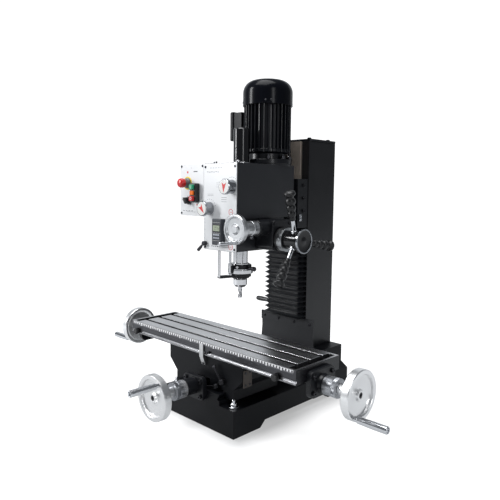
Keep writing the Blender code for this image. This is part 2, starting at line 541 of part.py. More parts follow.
def saddle_fittings():
    """The scale pointer on the saddle, the stop on the table, and the two clamping levers."""
    front = TABLE_Y - TABLE_WIDTH / 2
    tip = TABLE_TOP - 5 * mm
    pointer = [
        (SADDLE_FRONT - GAP, POINTER_BOTTOM), (SADDLE_FRONT - GAP, TABLE_BOTTOM - 8 * mm),
        (front - 1 * mm, TABLE_BOTTOM), (front - 1 * mm, tip), (front - 1 * mm - POINTER_THICK, tip),
        (front - 1 * mm - POINTER_THICK, TABLE_BOTTOM - 4 * mm), (
            SADDLE_FRONT - GAP - POINTER_THICK, POINTER_BOTTOM
        ),
    ]
    ends = (POINTER_X - POINTER_HALF, POINTER_X + POINTER_HALF)
    node("scale_pointer", prism(pointer, "X", *ends), "bright_steel", smooth=False)
    stop = [
        (front + STOP_GROOVE_DEPTH - GAP, 0), (
            front + STOP_GROOVE_DEPTH - GAP, STOP_GROOVE_WIDTH / 2 - GAP
        ),
        (front - GAP, STOP_GROOVE_WIDTH / 2 - GAP), (front - GAP, STOP_RADIUS),
        (front - STOP_LENGTH, STOP_RADIUS), (front - STOP_LENGTH, 0),
    ]
    node(
        "table_stop", turned(stop, "Y", (STOP_X, STOP_GROOVE_Z), SMALL), "black_plastic",
        (STOP_X, front, STOP_GROOVE_Z),
    )
    for name, (x, z, turn) in LOCKS.items():
        start = SADDLE_FRONT - GAP
        end = start - LOCK_BOSS_LENGTH
        made = node(name, disc(LOCK_BOSS, "Y", (x, z), end, start, SMALL), "chrome", (x, start, z))
        arm_y = end + LOCK_ARM_RADIUS + 1 * mm
        arm = disc(LOCK_ARM_RADIUS, "X", (arm_y, z), x, x + LOCK_ARM, 12)
        ball = bmesh.new()
        bmesh.ops.create_uvsphere(ball, u_segments=12, v_segments=8, radius=LOCK_KNOB)
        bmesh.ops.translate(ball, verts=ball.verts[:], vec=(x + LOCK_ARM, arm_y, z))
        for shape in (arm, ball):
            join(made, spun(shape, -math.radians(turn), "Y", (x, arm_y, z)))


def column():
    body = [
        (-COLUMN_HALF, COLUMN_FRONT), (COLUMN_HALF, COLUMN_FRONT),
        (COLUMN_HALF, COLUMN_BACK), (-COLUMN_HALF, COLUMN_BACK),
    ]
    made = node("column", prism(body, "Z", RISER_TOP + GAP, COLUMN_TOP), "black_iron", smooth=False)
    face = COLUMN_FRONT - COLUMN_WAY_DEPTH
    narrow = COLUMN_WAY_HALF - COLUMN_WAY_DEPTH * UNDERCUT
    way = [
        (-COLUMN_WAY_HALF, face), (COLUMN_WAY_HALF, face), (narrow, COLUMN_FRONT),
        (narrow, COLUMN_FRONT + 5 * mm), (-narrow, COLUMN_FRONT + 5 * mm), (-narrow, COLUMN_FRONT),
    ]
    join(made, prism(way, "Z", BELLOWS_LOW + 2 * mm, COLUMN_TOP))
    inner = COLUMN_HALF - COLUMN_WALL
    cut(
        made,
        block(
            (-inner, inner), (COLUMN_FRONT + COLUMN_WALL, COLUMN_BACK - COLUMN_WALL),
            (RISER_TOP - 5 * mm, COLUMN_TOP + 5 * mm),
        ),
        block(
            (-COLUMN_SLOT_HALF, COLUMN_SLOT_HALF), (face - 5 * mm, COLUMN_FRONT + COLUMN_WALL + 5 * mm),
            (SLOT_LOW, SLOT_HIGH),
        ),
        disc(
            JOURNAL_RADIUS + RUN, "X", (Z_CRANK_Y, Z_CRANK_Z), -COLUMN_HALF - 5 * mm, -inner + 5 * mm, SMALL
        ),
        disc(JOURNAL_RADIUS + RUN, "Z", (0, Z_SCREW_Y), SLOT_HIGH - 5 * mm, COLUMN_TOP + 5 * mm, SMALL),
    )
    cap = rounded(
        (-COLUMN_HALF - CAP_OVERHANG, COLUMN_HALF + CAP_OVERHANG),
        (COLUMN_FRONT + 4 * mm, COLUMN_BACK + CAP_OVERHANG), 6 * mm,
    )
    node("column_cap", prism(cap, "Z", COLUMN_TOP + GAP, COLUMN_TOP + GAP + CAP_THICK), "black_iron")


def column_screw():
    """The upright screw, carried in the column's top."""
    screw = [
        (Z_SCREW_LOW, 0), (Z_SCREW_LOW, SCREW_RADIUS), (SLOT_HIGH - RUN, SCREW_RADIUS),
        (SLOT_HIGH - RUN, JOURNAL_RADIUS), (COLUMN_TOP - 1 * mm, JOURNAL_RADIUS), (COLUMN_TOP - 1 * mm, 0),
    ]
    node(
        "column_screw", turned(screw, "Z", (0, Z_SCREW_Y), SMALL), "bright_steel",
        (0, Z_SCREW_Y, Z_SCREW_LOW),
    )


def slide():
    """The head's slide, wrapped round the column's dovetail, with the screw's nut behind it."""
    face = COLUMN_FRONT - COLUMN_WAY_DEPTH - GAP
    half = COLUMN_WAY_HALF + RUN
    narrow = half - COLUMN_WAY_DEPTH * UNDERCUT
    back = COLUMN_FRONT - GAP
    outline = [
        (-SLIDE_HALF, SLIDE_FRONT), (SLIDE_HALF, SLIDE_FRONT), (SLIDE_HALF, back), (narrow, back), (
            half, face
        ),
        (-half, face), (-narrow, back), (-SLIDE_HALF, back),
    ]
    made = node("head_slide", prism(outline, "Z", SLIDE_LOW, SLIDE_HIGH), "black_iron", smooth=False)
    middle = (SLIDE_LOW + SLIDE_HIGH) / 2
    nut = (
        (-15 * mm, 15 * mm), (face - 3 * mm, Z_SCREW_Y + 15 * mm),
        (middle - NUT_LENGTH / 2, middle + NUT_LENGTH / 2),
    )
    join(made, block(*nut))
    cut(made, disc(SCREW_RADIUS + RUN, "Z", (0, Z_SCREW_Y), SLIDE_LOW, SLIDE_HIGH, SMALL))


def bellows():
    """The pleated cover of the lower ways: nested U-shaped rings, out and in by turns."""
    bm = bmesh.new()
    high = SLIDE_LOW - GAP
    back = COLUMN_FRONT - GAP
    loops = []
    for i in range(2 * BELLOWS_FOLDS + 1):
        z = BELLOWS_LOW + (high - BELLOWS_LOW) * i / (2 * BELLOWS_FOLDS)
        grow = BELLOWS_FOLD / 2 if i % 2 else -BELLOWS_FOLD / 2
        half, front = BELLOWS_HALF + grow, BELLOWS_FRONT - grow
        inner, inside = half - BELLOWS_WALL, front + BELLOWS_WALL
        outline = [
            (-half, back), (-half, front), (half, front), (half, back),
            (inner, back), (inner, inside), (-inner, inside), (-inner, back),
        ]
        loops.append([bm.verts.new((x, y, z)) for x, y in outline])
    for below, over in zip(loops, loops[1:]):
        for i in range(len(below)):
            j = (i + 1) % len(below)
            bm.faces.new((below[i], below[j], over[j], over[i]))
    bm.faces.new(loops[0])
    bm.faces.new(loops[-1])
    node("way_bellows", bm, "black_rubber", smooth=False)


def apron():
    """The rubber sheet below the bellows, thicker in the band that clamps it, wider towards its hem."""
    top = BELLOWS_LOW - GAP
    back = COLUMN_FRONT - 2 * GAP
    hem = APRON_HALF + APRON_FLARE
    sheet = [(-APRON_HALF, top), (-APRON_HALF + 2 * mm, top - 50 * mm), (-hem, APRON_LOW)]
    sheet += [(-x, z) for x, z in reversed(sheet)]
    made = node(
        "way_apron", prism(sheet, "Y", RISER_FRONT - GAP - APRON_THICK, RISER_FRONT - GAP), "black_rubber",
        smooth=False,
    )
    join(made, block((-APRON_HALF, APRON_HALF), (back - APRON_BAND_THICK, back), (top - APRON_BAND, top)))


def column_crank():
    """The hand crank on the column's left that turns the upright screw through bevel gears."""
    axis = (Z_CRANK_Y, Z_CRANK_Z)
    outside = -COLUMN_HALF - RUN
    end = outside - Z_CRANK_HUB
    arm_high = end + 2 * Z_CRANK_ARM
    inside = -COLUMN_HALF + COLUMN_WALL + 30 * mm
    shaft = [
        (end, 0), (end, HUB_RADIUS), (outside, HUB_RADIUS), (outside, JOURNAL_RADIUS), (
            inside, JOURNAL_RADIUS
        ),
        (inside, 14 * mm), (inside + 14 * mm, 19 * mm), (inside + 14 * mm, 0),
    ]
    made = node("column_crank", turned(shaft, "X", axis, SMALL), "black_iron", (end, *axis))
    y, z = across(Z_CRANK_TURN, Z_CRANK_REACH)
    arm = block(
        (end, arm_high), (Z_CRANK_Y, Z_CRANK_Y + Z_CRANK_REACH + 10 * mm),
        (Z_CRANK_Z - 8 * mm, Z_CRANK_Z + 8 * mm),
    )
    join(made, spun(arm, math.radians(Z_CRANK_TURN), "X", (end, *axis)))
    centre = (Z_CRANK_Y + y, Z_CRANK_Z + z)
    start = end - GAP
    short = grip(start, -1, 56 * mm, 8.5 * mm, 6 * mm)
    node("column_crank_handle", turned(short, "X", centre, SMALL), "black_plastic", (start, *centre))


def head():
    made = node(
        "head_casting",
        block((-HEAD_HALF, HEAD_HALF), (HEAD_FRONT, HEAD_BACK), (HEAD_STEP, HEAD_TOP)),
        "black_iron", smooth=False,
    )
    join(
        made,
        block((-LOWER_HALF, LOWER_HALF), (HEAD_FRONT, LOWER_BACK), (HEAD_LOW, HEAD_STEP + 5 * mm)),
        disc(TILT_RADIUS, "Y", (0, TILT_Z), HEAD_BACK - 3 * mm, SLIDE_FRONT - RUN),
        disc(FLANGE_RADIUS - 2 * mm, "Z", (0, MOTOR_Y), HEAD_TOP - 3 * mm, FLANGE_HIGH - GAP - 14 * mm),
    )
    inner = HEAD_HALF - GEAR_WALL
    cut(
        made,
        block((-inner, inner), (HEAD_FRONT + GEAR_WALL, HEAD_BACK - GEAR_WALL), (GEAR_FLOOR, GEAR_ROOF)),
        disc(GEAR_RADIUS + GEAR_ROOM, "Z", (0, 0), GEAR_LOW - GEAR_ROOM, GEAR_HIGH + GEAR_ROOM),
        disc(MOTOR_PINION + GEAR_ROOM, "Z", (0, MOTOR_Y), GEAR_LOW - GEAR_ROOM, GEAR_HIGH + GEAR_ROOM),
        disc(QUILL_RADIUS + RUN, "Z", (0, 0), HEAD_LOW - 5 * mm, GEAR_FLOOR + 5 * mm),
        disc(SPINDLE_RADIUS + 2 * mm, "Z", (0, 0), GEAR_ROOF - 5 * mm, HEAD_TOP + 5 * mm, SMALL),
        disc(ROTOR_SHAFT + 4 * mm, "Z", (0, MOTOR_Y), GEAR_ROOF - 5 * mm, HEAD_TOP + 15 * mm, SMALL),
        disc(PINION_RADIUS + RUN, "X", (FEED_Y, FEED_Z), -14 * mm, LOWER_HALF + 5 * mm, SMALL),
        block(
            (SCALE_BAR_X - 6 * mm, SCALE_BAR_X + 6 * mm), (SCALE_BAR_Y - 2.5 * mm, SCALE_BAR_Y + 2.5 * mm),
            (HEAD_LOW - 5 * mm, SCALE_BAR_HIGH + 4 * mm),
        ),
        disc(DEPTH_ROD_RADIUS + RUN, "Z", (0, DEPTH_ROD_Y), HEAD_LOW - 5 * mm, SCALE_BAR_HIGH + 4 * mm, 16),
    )
    node(
        "drawbar_cover",
        turned(
            [
                (HEAD_TOP + GAP, SPINDLE_RADIUS + 2 * mm), (HEAD_TOP + GAP, DRAWBAR_RADIUS + 5 * mm),
                (HEAD_TOP + 5 * mm, DRAWBAR_RADIUS + 5 * mm), (HEAD_TOP + 5 * mm, DRAWBAR_RADIUS),
                (DRAWBAR_HIGH - 3 * mm, DRAWBAR_RADIUS), (DRAWBAR_HIGH, DRAWBAR_RADIUS - 3 * mm),
                (DRAWBAR_HIGH, 0), (DRAWBAR_HIGH - 6 * mm, 0), (
                    DRAWBAR_HIGH - 6 * mm, SPINDLE_RADIUS + 2 * mm
                ),
            ],
            "Z", (0, 0),
        ),
        "bright_steel",
    )


def quill_group():
    """The quill with its clamped collar, and the spindle, cutter and drive gear that turn in it."""
    quill = ring(QUILL_RADIUS, SPINDLE_RADIUS + RUN, "Z", (0, 0), QUILL_LOW, QUILL_HIGH)
    node("quill", quill, "bright_steel", (0, 0, QUILL_LOW))
    bore = CUTTER_RADIUS + GAP
    spindle = [
        (NOSE_LOW, bore), (NOSE_LOW, NOSE_RADIUS - 5 * mm), (NOSE_LOW + 7 * mm, NOSE_RADIUS),
        (NOSE_HIGH, NOSE_RADIUS), (NOSE_HIGH, SPINDLE_RADIUS), (SPINDLE_HIGH, SPINDLE_RADIUS),
        (SPINDLE_HIGH, 0), (SHANK_HIGH + GAP, 0), (SHANK_HIGH + GAP, bore),
    ]
    node("spindle", turned(spindle, "Z", (0, 0)), "bright_steel", (0, 0, NOSE_LOW))
    flutes = gear(CUTTER_RADIUS, 1.6 * mm, 4, "Z", (0, 0), CUTTER_LOW, CUTTER_LOW + 26 * mm)
    cutter = node("end_mill", flutes, "bright_steel", (0, 0, CUTTER_LOW), smooth=False)
    join(cutter, disc(CUTTER_RADIUS, "Z", (0, 0), CUTTER_LOW + 25 * mm, SHANK_HIGH, SMALL))
    toothed = gear(GEAR_RADIUS, GEAR_TOOTH, GEAR_TEETH, "Z", (0, 0), GEAR_LOW, GEAR_HIGH)
    wheel = node("spindle_gear", toothed, "bright_steel", (0, 0, GEAR_LOW), smooth=False)
    cut(wheel, disc(SPINDLE_RADIUS + RUN, "Z", (0, 0), GEAR_LOW - 5 * mm, GEAR_HIGH + 5 * mm, SMALL))
    rim = COLLAR_RADIUS - 3 * mm
    shape = [
        (COLLAR_LOW, SPINDLE_RADIUS + RUN), (COLLAR_LOW, rim), (COLLAR_LOW + 7 * mm, rim),
        (COLLAR_LOW + 7 * mm, COLLAR_RADIUS), (COLLAR_HIGH - 1 * mm, COLLAR_RADIUS), (
            COLLAR_HIGH, COLLAR_RADIUS - 1 * mm
        ),
        (COLLAR_HIGH, QUILL_RADIUS + GAP), (QUILL_LOW - GAP, QUILL_RADIUS + GAP), (
            QUILL_LOW - GAP, SPINDLE_RADIUS + RUN
        ),
    ]
    collar = node("quill_collar", turned(shape, "Z", (0, 0)), "black_iron", (0, 0, COLLAR_LOW))
    arm_high = COLLAR_LOW + 12 * mm
    arm = [
        (-9 * mm, -QUILL_RADIUS - 4 * mm), (SCALE_BAR_X - 7 * mm, SCALE_BAR_Y - 1.2 * mm),
        (SCALE_BAR_X + 7 * mm, SCALE_BAR_Y - 1.2 * mm), (9 * mm, -QUILL_RADIUS - 4 * mm),
    ]
    join(
        collar,
        prism(arm, "Z", COLLAR_LOW + 4 * mm, arm_high),
        disc(DEPTH_ROD_RADIUS, "Z", (0, DEPTH_ROD_Y), arm_high - 4 * mm, SCALE_BAR_HIGH - QUILL_TRAVEL, 16),
        disc(6 * mm, "X", (0, QUILL_LOW + 7 * mm), COLLAR_RADIUS - 5 * mm, COLLAR_RADIUS + 30 * mm, 12),
        block(
            (SCALE_BAR_X - 5 * mm, SCALE_BAR_X + 5 * mm), (SCALE_BAR_Y - 1.5 * mm, SCALE_BAR_Y + 1.5 * mm),
            (arm_high - 3 * mm, SCALE_BAR_HIGH - QUILL_TRAVEL),
        ),
    )


def feed_housing():
    """The worm box on the head's right side, open towards the head."""
    left = LOWER_HALF + GAP
    box = rounded((HOUSING_FRONT, HOUSING_BACK), (HOUSING_LOW, HOUSING_HIGH), 14 * mm)
    made = node("feed_housing", prism(box, "X", left, HOUSING_RIGHT), "black_iron")
    join(made, disc(WORM_BOSS, "Y", (WORM_X, WORM_Z), WORM_BOSS_FRONT, HOUSING_FRONT + 5 * mm))
    inside = rounded(
        (HOUSING_FRONT + 8 * mm, HOUSING_BACK - 8 * mm), (HOUSING_LOW + 6 * mm, HOUSING_HIGH - 6 * mm),
        8 * mm,
    )
    cut(
        made,
        prism(inside, "X", left - 5 * mm, HOUSING_RIGHT - 14 * mm),
        disc(FEED_SHAFT + RUN, "X", (FEED_Y, FEED_Z), left, HOUSING_RIGHT + 5 * mm, SMALL),
        disc(
            WORM_RADIUS + RUN, "Y", (WORM_X, WORM_Z), WORM_BOSS_FRONT - 5 * mm, HOUSING_BACK - 4 * mm, SMALL
        ),
    )


def capstan():
    """The quill's cross shaft with its dial, three-armed hub and clutch cap."""
    axis = (FEED_Y, FEED_Z)
    dial = HOUSING_RIGHT + RUN
    hub = dial + FEED_DIAL_LENGTH + GAP
    cap = hub + FEED_HUB_LENGTH + GAP
    here = (dial, *axis)
    shaft = [
        (-8 * mm, 0), (-8 * mm, PINION_RADIUS), (20 * mm, PINION_RADIUS), (20 * mm, FEED_SHAFT),
        (WORM_X - 6 * mm, FEED_SHAFT), (WORM_X - 6 * mm, WORM_WHEEL), (WORM_X + 6 * mm, WORM_WHEEL),
        (WORM_X + 6 * mm, FEED_SHAFT), (cap - 1 * mm, FEED_SHAFT), (cap - 1 * mm, 0),
    ]
    node("feed_pinion_shaft", turned(shaft, "X", axis), "bright_steel", here)
    node(
        "feed_dial", ring(FEED_DIAL_RADIUS, FEED_SHAFT + RUN, "X", axis, dial, hub - GAP), "bright_steel",
        here,
    )
    made = node(
        "feed_hub", ring(FEED_HUB_RADIUS, FEED_SHAFT + RUN, "X", axis, hub, hub + FEED_HUB_LENGTH),
        "black_iron", here,
    )
    middle = hub + FEED_HUB_LENGTH / 2
    small, large, start = LEVER_GRIP_SMALL, LEVER_GRIP_LARGE, LEVER_REACH - LEVER_GRIP
    profile = [
        (FEED_HUB_RADIUS - 5 * mm, 0), (FEED_HUB_RADIUS - 5 * mm, LEVER_ROD), (start, LEVER_ROD), (
            start, small
        ),
        (LEVER_REACH - 12 * mm, large), (LEVER_REACH - 3 * mm, large), (LEVER_REACH, large - 4 * mm), (
            LEVER_REACH, 0
        ),
    ]
    for turn in LEVER_TURNS:
        lever = turned(profile, "Z", (0, 0), 16)
        spun(lever, math.radians(LEVER_TILT), "Y", (0, 0, 0))
        spun(lever, math.radians(turn - 90), "X", (0, 0, 0))
        bmesh.ops.translate(lever, verts=lever.verts[:], vec=(middle, *axis))
        join(made, lever)
    end = cap + CLUTCH_LENGTH
    clutch = [
        (cap, 0), (cap, CLUTCH_RADIUS), (end - 2 * mm, CLUTCH_RADIUS), (end, CLUTCH_RADIUS - 2 * mm),
        (end, 0),
    ]
    node("clutch_cap", turned(clutch, "X", axis), "chrome", here)


def fine_feed():
    """The worm shaft with its graduated sleeve, small handwheel and crank handle."""
    axis = (WORM_X, WORM_Z)
    here = (WORM_X, FINE_WHEEL_Y, WORM_Z)
    sleeve = WORM_BOSS_FRONT - RUN
    wheel_back = FINE_WHEEL_Y + FINE_WHEEL_WIDTH / 2
    shaft = [
        (wheel_back + GAP, 0), (wheel_back + GAP, FINE_DIAL_RADIUS - 3 * mm), (
            wheel_back + 12 * mm, FINE_DIAL_RADIUS - 3 * mm
        ),
        (wheel_back + 12 * mm, FINE_DIAL_RADIUS), (sleeve, FINE_DIAL_RADIUS), (sleeve, WORM_RADIUS),
        (HOUSING_BACK - 9 * mm, WORM_RADIUS), (HOUSING_BACK - 9 * mm, 0),
    ]
    node("fine_feed_worm", turned(shaft, "Y", axis), "bright_steel", here)
    front, rim = FINE_WHEEL_Y - FINE_WHEEL_WIDTH / 2, FINE_WHEEL_RADIUS - 8 * mm
    wheel = [
        (wheel_back, 0), (wheel_back, FINE_WHEEL_RADIUS - 3 * mm), (wheel_back - 3 * mm, FINE_WHEEL_RADIUS),
        (front + 2 * mm, FINE_WHEEL_RADIUS), (front, FINE_WHEEL_RADIUS - 2 * mm), (front, rim), (
            front + 5 * mm, rim - 3 * mm
        ),
        (front + 5 * mm, 12 * mm), (front + 1 * mm, 9 * mm), (front + 1 * mm, 0),
    ]
    node("fine_feed_handwheel", turned(wheel, "Y", axis), "polished_aluminium", here)
    x, z = across(FINE_TURN, FINE_WHEEL_RADIUS - 5 * mm)
    centre = (WORM_X + x, WORM_Z + z)
    start = front - GAP
    profile = grip(start, -1, FINE_GRIP, FINE_GRIP_RADIUS, 5 * mm)
    profile = [(along, min(r, FINE_GRIP_RADIUS)) for along, r in profile]
    node("fine_feed_handle", turned(profile, "Y", centre, SMALL), "chrome", (centre[0], start, centre[1]))


def panel_and_box():
    face = HEAD_FRONT - GAP
    front = face - PANEL_THICK
    right, left = HEAD_HALF - 1 * mm, BOX_LEFT
    top, low, step = HEAD_TOP - 1 * mm, HEAD_LOW + 1 * mm, HEAD_STEP + 1 * mm
    outline = [(left, step), (-right, step), (-right, low), (right, low), (right, top), (left, top)]
    panel = node("front_panel", prism(outline, "Y", front, face), "silver_panel", smooth=False)
    foot = [
        (front + 1 * mm, 0), (front + 1 * mm, STOP_BUTTON_RADIUS + 2 * mm), (
            front - 3 * mm, STOP_BUTTON_RADIUS + 2 * mm
        ),
        (front - 3 * mm, STOP_BUTTON_RADIUS - 3 * mm), (front - STOP_FOOT, STOP_BUTTON_RADIUS - 3 * mm),
        (front - STOP_FOOT, STOP_NECK), (front - STOP_FOOT + 8 * mm, STOP_NECK), (
            front - STOP_FOOT + 8 * mm, 0
        ),
    ]
    join(panel, turned(foot, "Y", STOP_BUTTON_AT, SMALL))
    made = node(
        "control_box",
        block((left, -HEAD_HALF - GAP), (HEAD_FRONT, HEAD_FRONT + BOX_DEPTH), (step, top)),
        "black_iron", smooth=False,
    )
    cut(
        made,
        block(
            (left + BOX_WALL, -HEAD_HALF + 5 * mm), (
                HEAD_FRONT + BOX_WALL, HEAD_FRONT + BOX_DEPTH - BOX_WALL
            ),
            (step + BOX_WALL, top - BOX_WALL),
        ),
    )
    return front - GAP


def controls(face):
    """Everything that the hand meets on the front panel, which has its outer face at the given Y."""
    x, z = STOP_BUTTON_AT
    base_end = face + GAP - STOP_FOOT
    cap = base_end - PRESS - GAP
    shape = [
        (base_end + 4 * mm, 0), (base_end + 4 * mm, STOP_NECK - RUN), (cap, STOP_NECK - RUN), (
            cap, STOP_BUTTON_RADIUS
        ),
        (cap - 12 * mm, STOP_BUTTON_RADIUS), (cap - 16 * mm, STOP_BUTTON_RADIUS - 4 * mm), (
            cap - 17 * mm, 0
        ),
    ]
    node("emergency_stop_button", turned(shape, "Y", (x, z), 24), "red_plastic", (x, cap, z))
    x, z = SWITCH_AT
    outline = rounded((x - SWITCH_HALF, x + SWITCH_HALF), (z - SWITCH_RISE, z + SWITCH_RISE), 5 * mm, 3)
    housing = node("switch_housing", prism(outline, "Y", face - SWITCH_DEPTH, face), "black_plastic")
    for side, name, finish in ((1, "start_button", "green_plastic"), (-1, "stop_button", "red_plastic")):
        middle = z + side * BUTTON_OFFSET
        seat = face - SWITCH_DEPTH + PRESS + 2 * mm
        wide, tall = BUTTON_HALF + RUN, BUTTON_RISE + RUN
        pocket = rounded((x - wide, x + wide), (middle - tall, middle + tall), 3 * mm, 3)
        cut(housing, prism(pocket, "Y", face - SWITCH_DEPTH - 5 * mm, seat))
        shape = rounded(
            (x - BUTTON_HALF, x + BUTTON_HALF), (middle - BUTTON_RISE, middle + BUTTON_RISE), 3 * mm, 3
        )
        start, end = seat - PRESS - GAP, face - SWITCH_DEPTH - BUTTON_PROUD
        node(name, prism(shape, "Y", end, start), finish, (x, start, middle))
    x, z = SELECTOR_AT
    tip = face - SELECTOR_DEPTH
    knob = node(
        "selector_switch", disc(SELECTOR_RADIUS, "Y", (x, z), face - 8 * mm, face, 24), "black_plastic",
        (x, face, z),
    )
    join(knob, block((x - 3.5 * mm, x + 3.5 * mm), (tip, face - 7 * mm), (z - 11 * mm, z + 11 * mm)))
    for name, (x, z) in KNOBS.items():
        end = face - KNOB_DEPTH
        shape = [
            (face, 0), (face, KNOB_RADIUS - 2 * mm), (end + 9 * mm, KNOB_RADIUS - 3 * mm), (
                end + 9 * mm, KNOB_RADIUS
            ),
            (end + 1 * mm, KNOB_RADIUS), (end, KNOB_RADIUS - 1 * mm), (end, 0),
        ]
        node(name, turned(shape, "Y", (x, z)), "bright_steel", (x, face, z))
    x, z = DISPLAY_AT
    outline = rounded((x - DISPLAY_HALF, x + DISPLAY_HALF), (z - DISPLAY_RISE, z + DISPLAY_RISE), 3 * mm, 3)
    node("depth_display", prism(outline, "Y", face - DISPLAY_DEPTH, face), "black_plastic")
    x, z = QUILL_LOCK_AT
    lever = node(
        "quill_lock_lever", disc(7 * mm, "Y", (x, z), face - 12 * mm, face, SMALL), "chrome", (x, face, z)
    )
    arm = disc(3.5 * mm, "X", (face - 8 * mm, z), x, x + 34 * mm, 12)
    join(lever, spun(arm, -math.radians(222), "Y", (x, face - 8 * mm, z)))


def motor():
    axis = (0, MOTOR_Y)
    made = node(
        "motor_body", gear(MOTOR_RADIUS, MOTOR_FIN, MOTOR_FINS, "Z", axis, FINS_LOW - 5 * mm, FINS_HIGH),
        "black_iron", smooth=False,
    )
    low = FLANGE_HIGH - 14 * mm
    neck = MOTOR_RADIUS - MOTOR_FIN - 4 * mm
    foot = [
        (low, 0), (low, FLANGE_RADIUS), (FLANGE_HIGH, FLANGE_RADIUS), (FLANGE_HIGH, neck), (
            FINS_LOW - 14 * mm, neck
        ),
        (FINS_LOW - 8 * mm, MOTOR_RADIUS - 3 * mm), (FINS_LOW, MOTOR_RADIUS - 3 * mm), (FINS_LOW, 0),
    ]
    join(made, turned(foot, "Z", axis))
    void = [
        (low - 5 * mm, 0), (low - 5 * mm, ROTOR_SHAFT + 3 * mm), (BORE_LOW, ROTOR_SHAFT + 3 * mm), (
            BORE_LOW, BORE_RADIUS
        ),
        (BORE_HIGH, BORE_RADIUS), (BORE_HIGH, ROTOR_SHAFT + RUN), (FINS_HIGH + 5 * mm, ROTOR_SHAFT + RUN), (
            FINS_HIGH + 5 * mm, 0
        ),
    ]
    cut(made, turned(void, "Z", axis, SMALL))
    fan_low = FINS_HIGH + 16 * mm
    fan_high = fan_low + FAN_THICK
    rotor = node(
        "motor_rotor",
        turned(
            [
                (GEAR_LOW, 0), (GEAR_LOW, MOTOR_PINION), (GEAR_HIGH, MOTOR_PINION), (
                    GEAR_HIGH, ROTOR_SHAFT
                ),
                (BORE_LOW + 8 * mm, ROTOR_SHAFT), (BORE_LOW + 8 * mm, ROTOR_CORE), (
                    BORE_HIGH - 8 * mm, ROTOR_CORE
                ),
                (BORE_HIGH - 8 * mm, ROTOR_SHAFT), (fan_low, ROTOR_SHAFT), (fan_low, FAN_RADIUS),
                (fan_low + 3 * mm, FAN_RADIUS), (fan_low + 3 * mm, 14 * mm), (fan_high, 14 * mm), (
                    fan_high, 0
                ),
            ],
            "Z", axis, 32,
        ),
        "bright_steel", (0, MOTOR_Y, GEAR_LOW),
    )
    blade = [
        (10 * mm, -1.5 * mm), (FAN_RADIUS - 1 * mm, -1.5 * mm), (FAN_RADIUS - 1 * mm, 1.5 * mm),
        (10 * mm, 1.5 * mm),
    ]
    for i in range(6):
        shape = prism([(x, MOTOR_Y + y) for x, y in blade], "Z", fan_low + 2 * mm, fan_high)
        join(rotor, spun(shape, math.tau * i / 6, "Z", (0, MOTOR_Y, 0)))
    rim, wall = FINS_HIGH - COVER_LAP, COVER_WALL
    seat = (MOTOR_RADIUS + GAP) / math.cos(math.pi / ROUND)
    outer = [(rim, COVER_RADIUS)]
    inner = []
    for i in range(7):
        turn = math.radians(15 * i)
        flat = COVER_RADIUS - COVER_ROUND
        outer.append(
            (COVER_HIGH - COVER_ROUND + COVER_ROUND * math.sin(turn), flat + COVER_ROUND * math.cos(turn))
        )
        small = COVER_ROUND - wall
        inner.append((COVER_HIGH - COVER_ROUND + small * math.sin(turn), flat + small * math.cos(turn)))
    profile = outer + [(COVER_HIGH + 2 * mm, 0), (COVER_HIGH + 2 * mm - wall, 0)] + inner[::-1]
    profile += [(FINS_HIGH + 3 * mm, COVER_RADIUS - wall), (FINS_HIGH + GAP, seat), (rim, seat)]
    node("motor_fan_cover", turned(profile, "Z", axis), "glossy_black")
    chord = TERMINAL_HALF - 4 * mm
    reach = math.sqrt(MOTOR_RADIUS**2 - chord**2)
    right = -MOTOR_RADIUS - GAP
    lid = TERMINAL_LEFT + 14 * mm
    box = node(
        "motor_terminal_box",
        block(
            (lid - 2 * mm, right), (MOTOR_Y - chord, MOTOR_Y + chord),
            (TERMINAL_LOW + 6 * mm, TERMINAL_HIGH - 3 * mm),
        ),
        "black_iron", smooth=False,
    )
    join(
        box,
        block(
            (TERMINAL_LEFT, lid), (MOTOR_Y - TERMINAL_HALF, MOTOR_Y + TERMINAL_HALF),
            (TERMINAL_LOW, TERMINAL_HIGH),
        ),
    )


for old in list(bpy.data.objects):
    bpy.data.objects.remove(old, do_unlink=True)

root = bpy.data.objects.new("machine", None)
root.location = ((X_REACH_LEFT - X_REACH_RIGHT) / 2, (Y_REACH - Y_BACK) / 2, 0)
bpy.context.scene.collection.objects.link(root)

base()
saddle()
table()
end_bracket(-1, "table_bracket_left")
end_bracket(1, "table_bracket_right")
table_feed()
saddle_feed()
saddle_fittings()
column()
column_screw()
slide()
bellows()
apron()
column_crank()
head()
quill_group()
feed_housing()
capstan()
fine_feed()
controls(panel_and_box())
motor()
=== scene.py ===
import math
from functools import partialmethod

import bmesh
import bpy
from mathutils import Matrix, Vector


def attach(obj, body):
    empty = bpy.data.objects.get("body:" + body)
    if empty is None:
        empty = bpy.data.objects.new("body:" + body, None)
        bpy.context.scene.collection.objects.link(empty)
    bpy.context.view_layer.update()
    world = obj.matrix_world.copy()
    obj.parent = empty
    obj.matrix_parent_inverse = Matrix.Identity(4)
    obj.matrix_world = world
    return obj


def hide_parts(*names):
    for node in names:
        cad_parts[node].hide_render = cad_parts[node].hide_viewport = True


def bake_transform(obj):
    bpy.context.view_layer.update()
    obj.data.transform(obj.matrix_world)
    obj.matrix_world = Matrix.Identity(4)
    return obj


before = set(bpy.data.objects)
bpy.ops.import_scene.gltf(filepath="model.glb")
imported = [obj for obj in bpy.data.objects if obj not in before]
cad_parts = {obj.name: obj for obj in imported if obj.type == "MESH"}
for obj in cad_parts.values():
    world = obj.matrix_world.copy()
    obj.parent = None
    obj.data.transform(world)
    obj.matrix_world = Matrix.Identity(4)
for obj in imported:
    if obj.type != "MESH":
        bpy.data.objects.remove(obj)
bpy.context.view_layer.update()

# The base. A hollow grey-iron casting, filled, rubbed down and sprayed satin black, with a flat ledge round
# its foot for the anchor bolts and a riser at the back that carries the column. The ways on it are scraped.

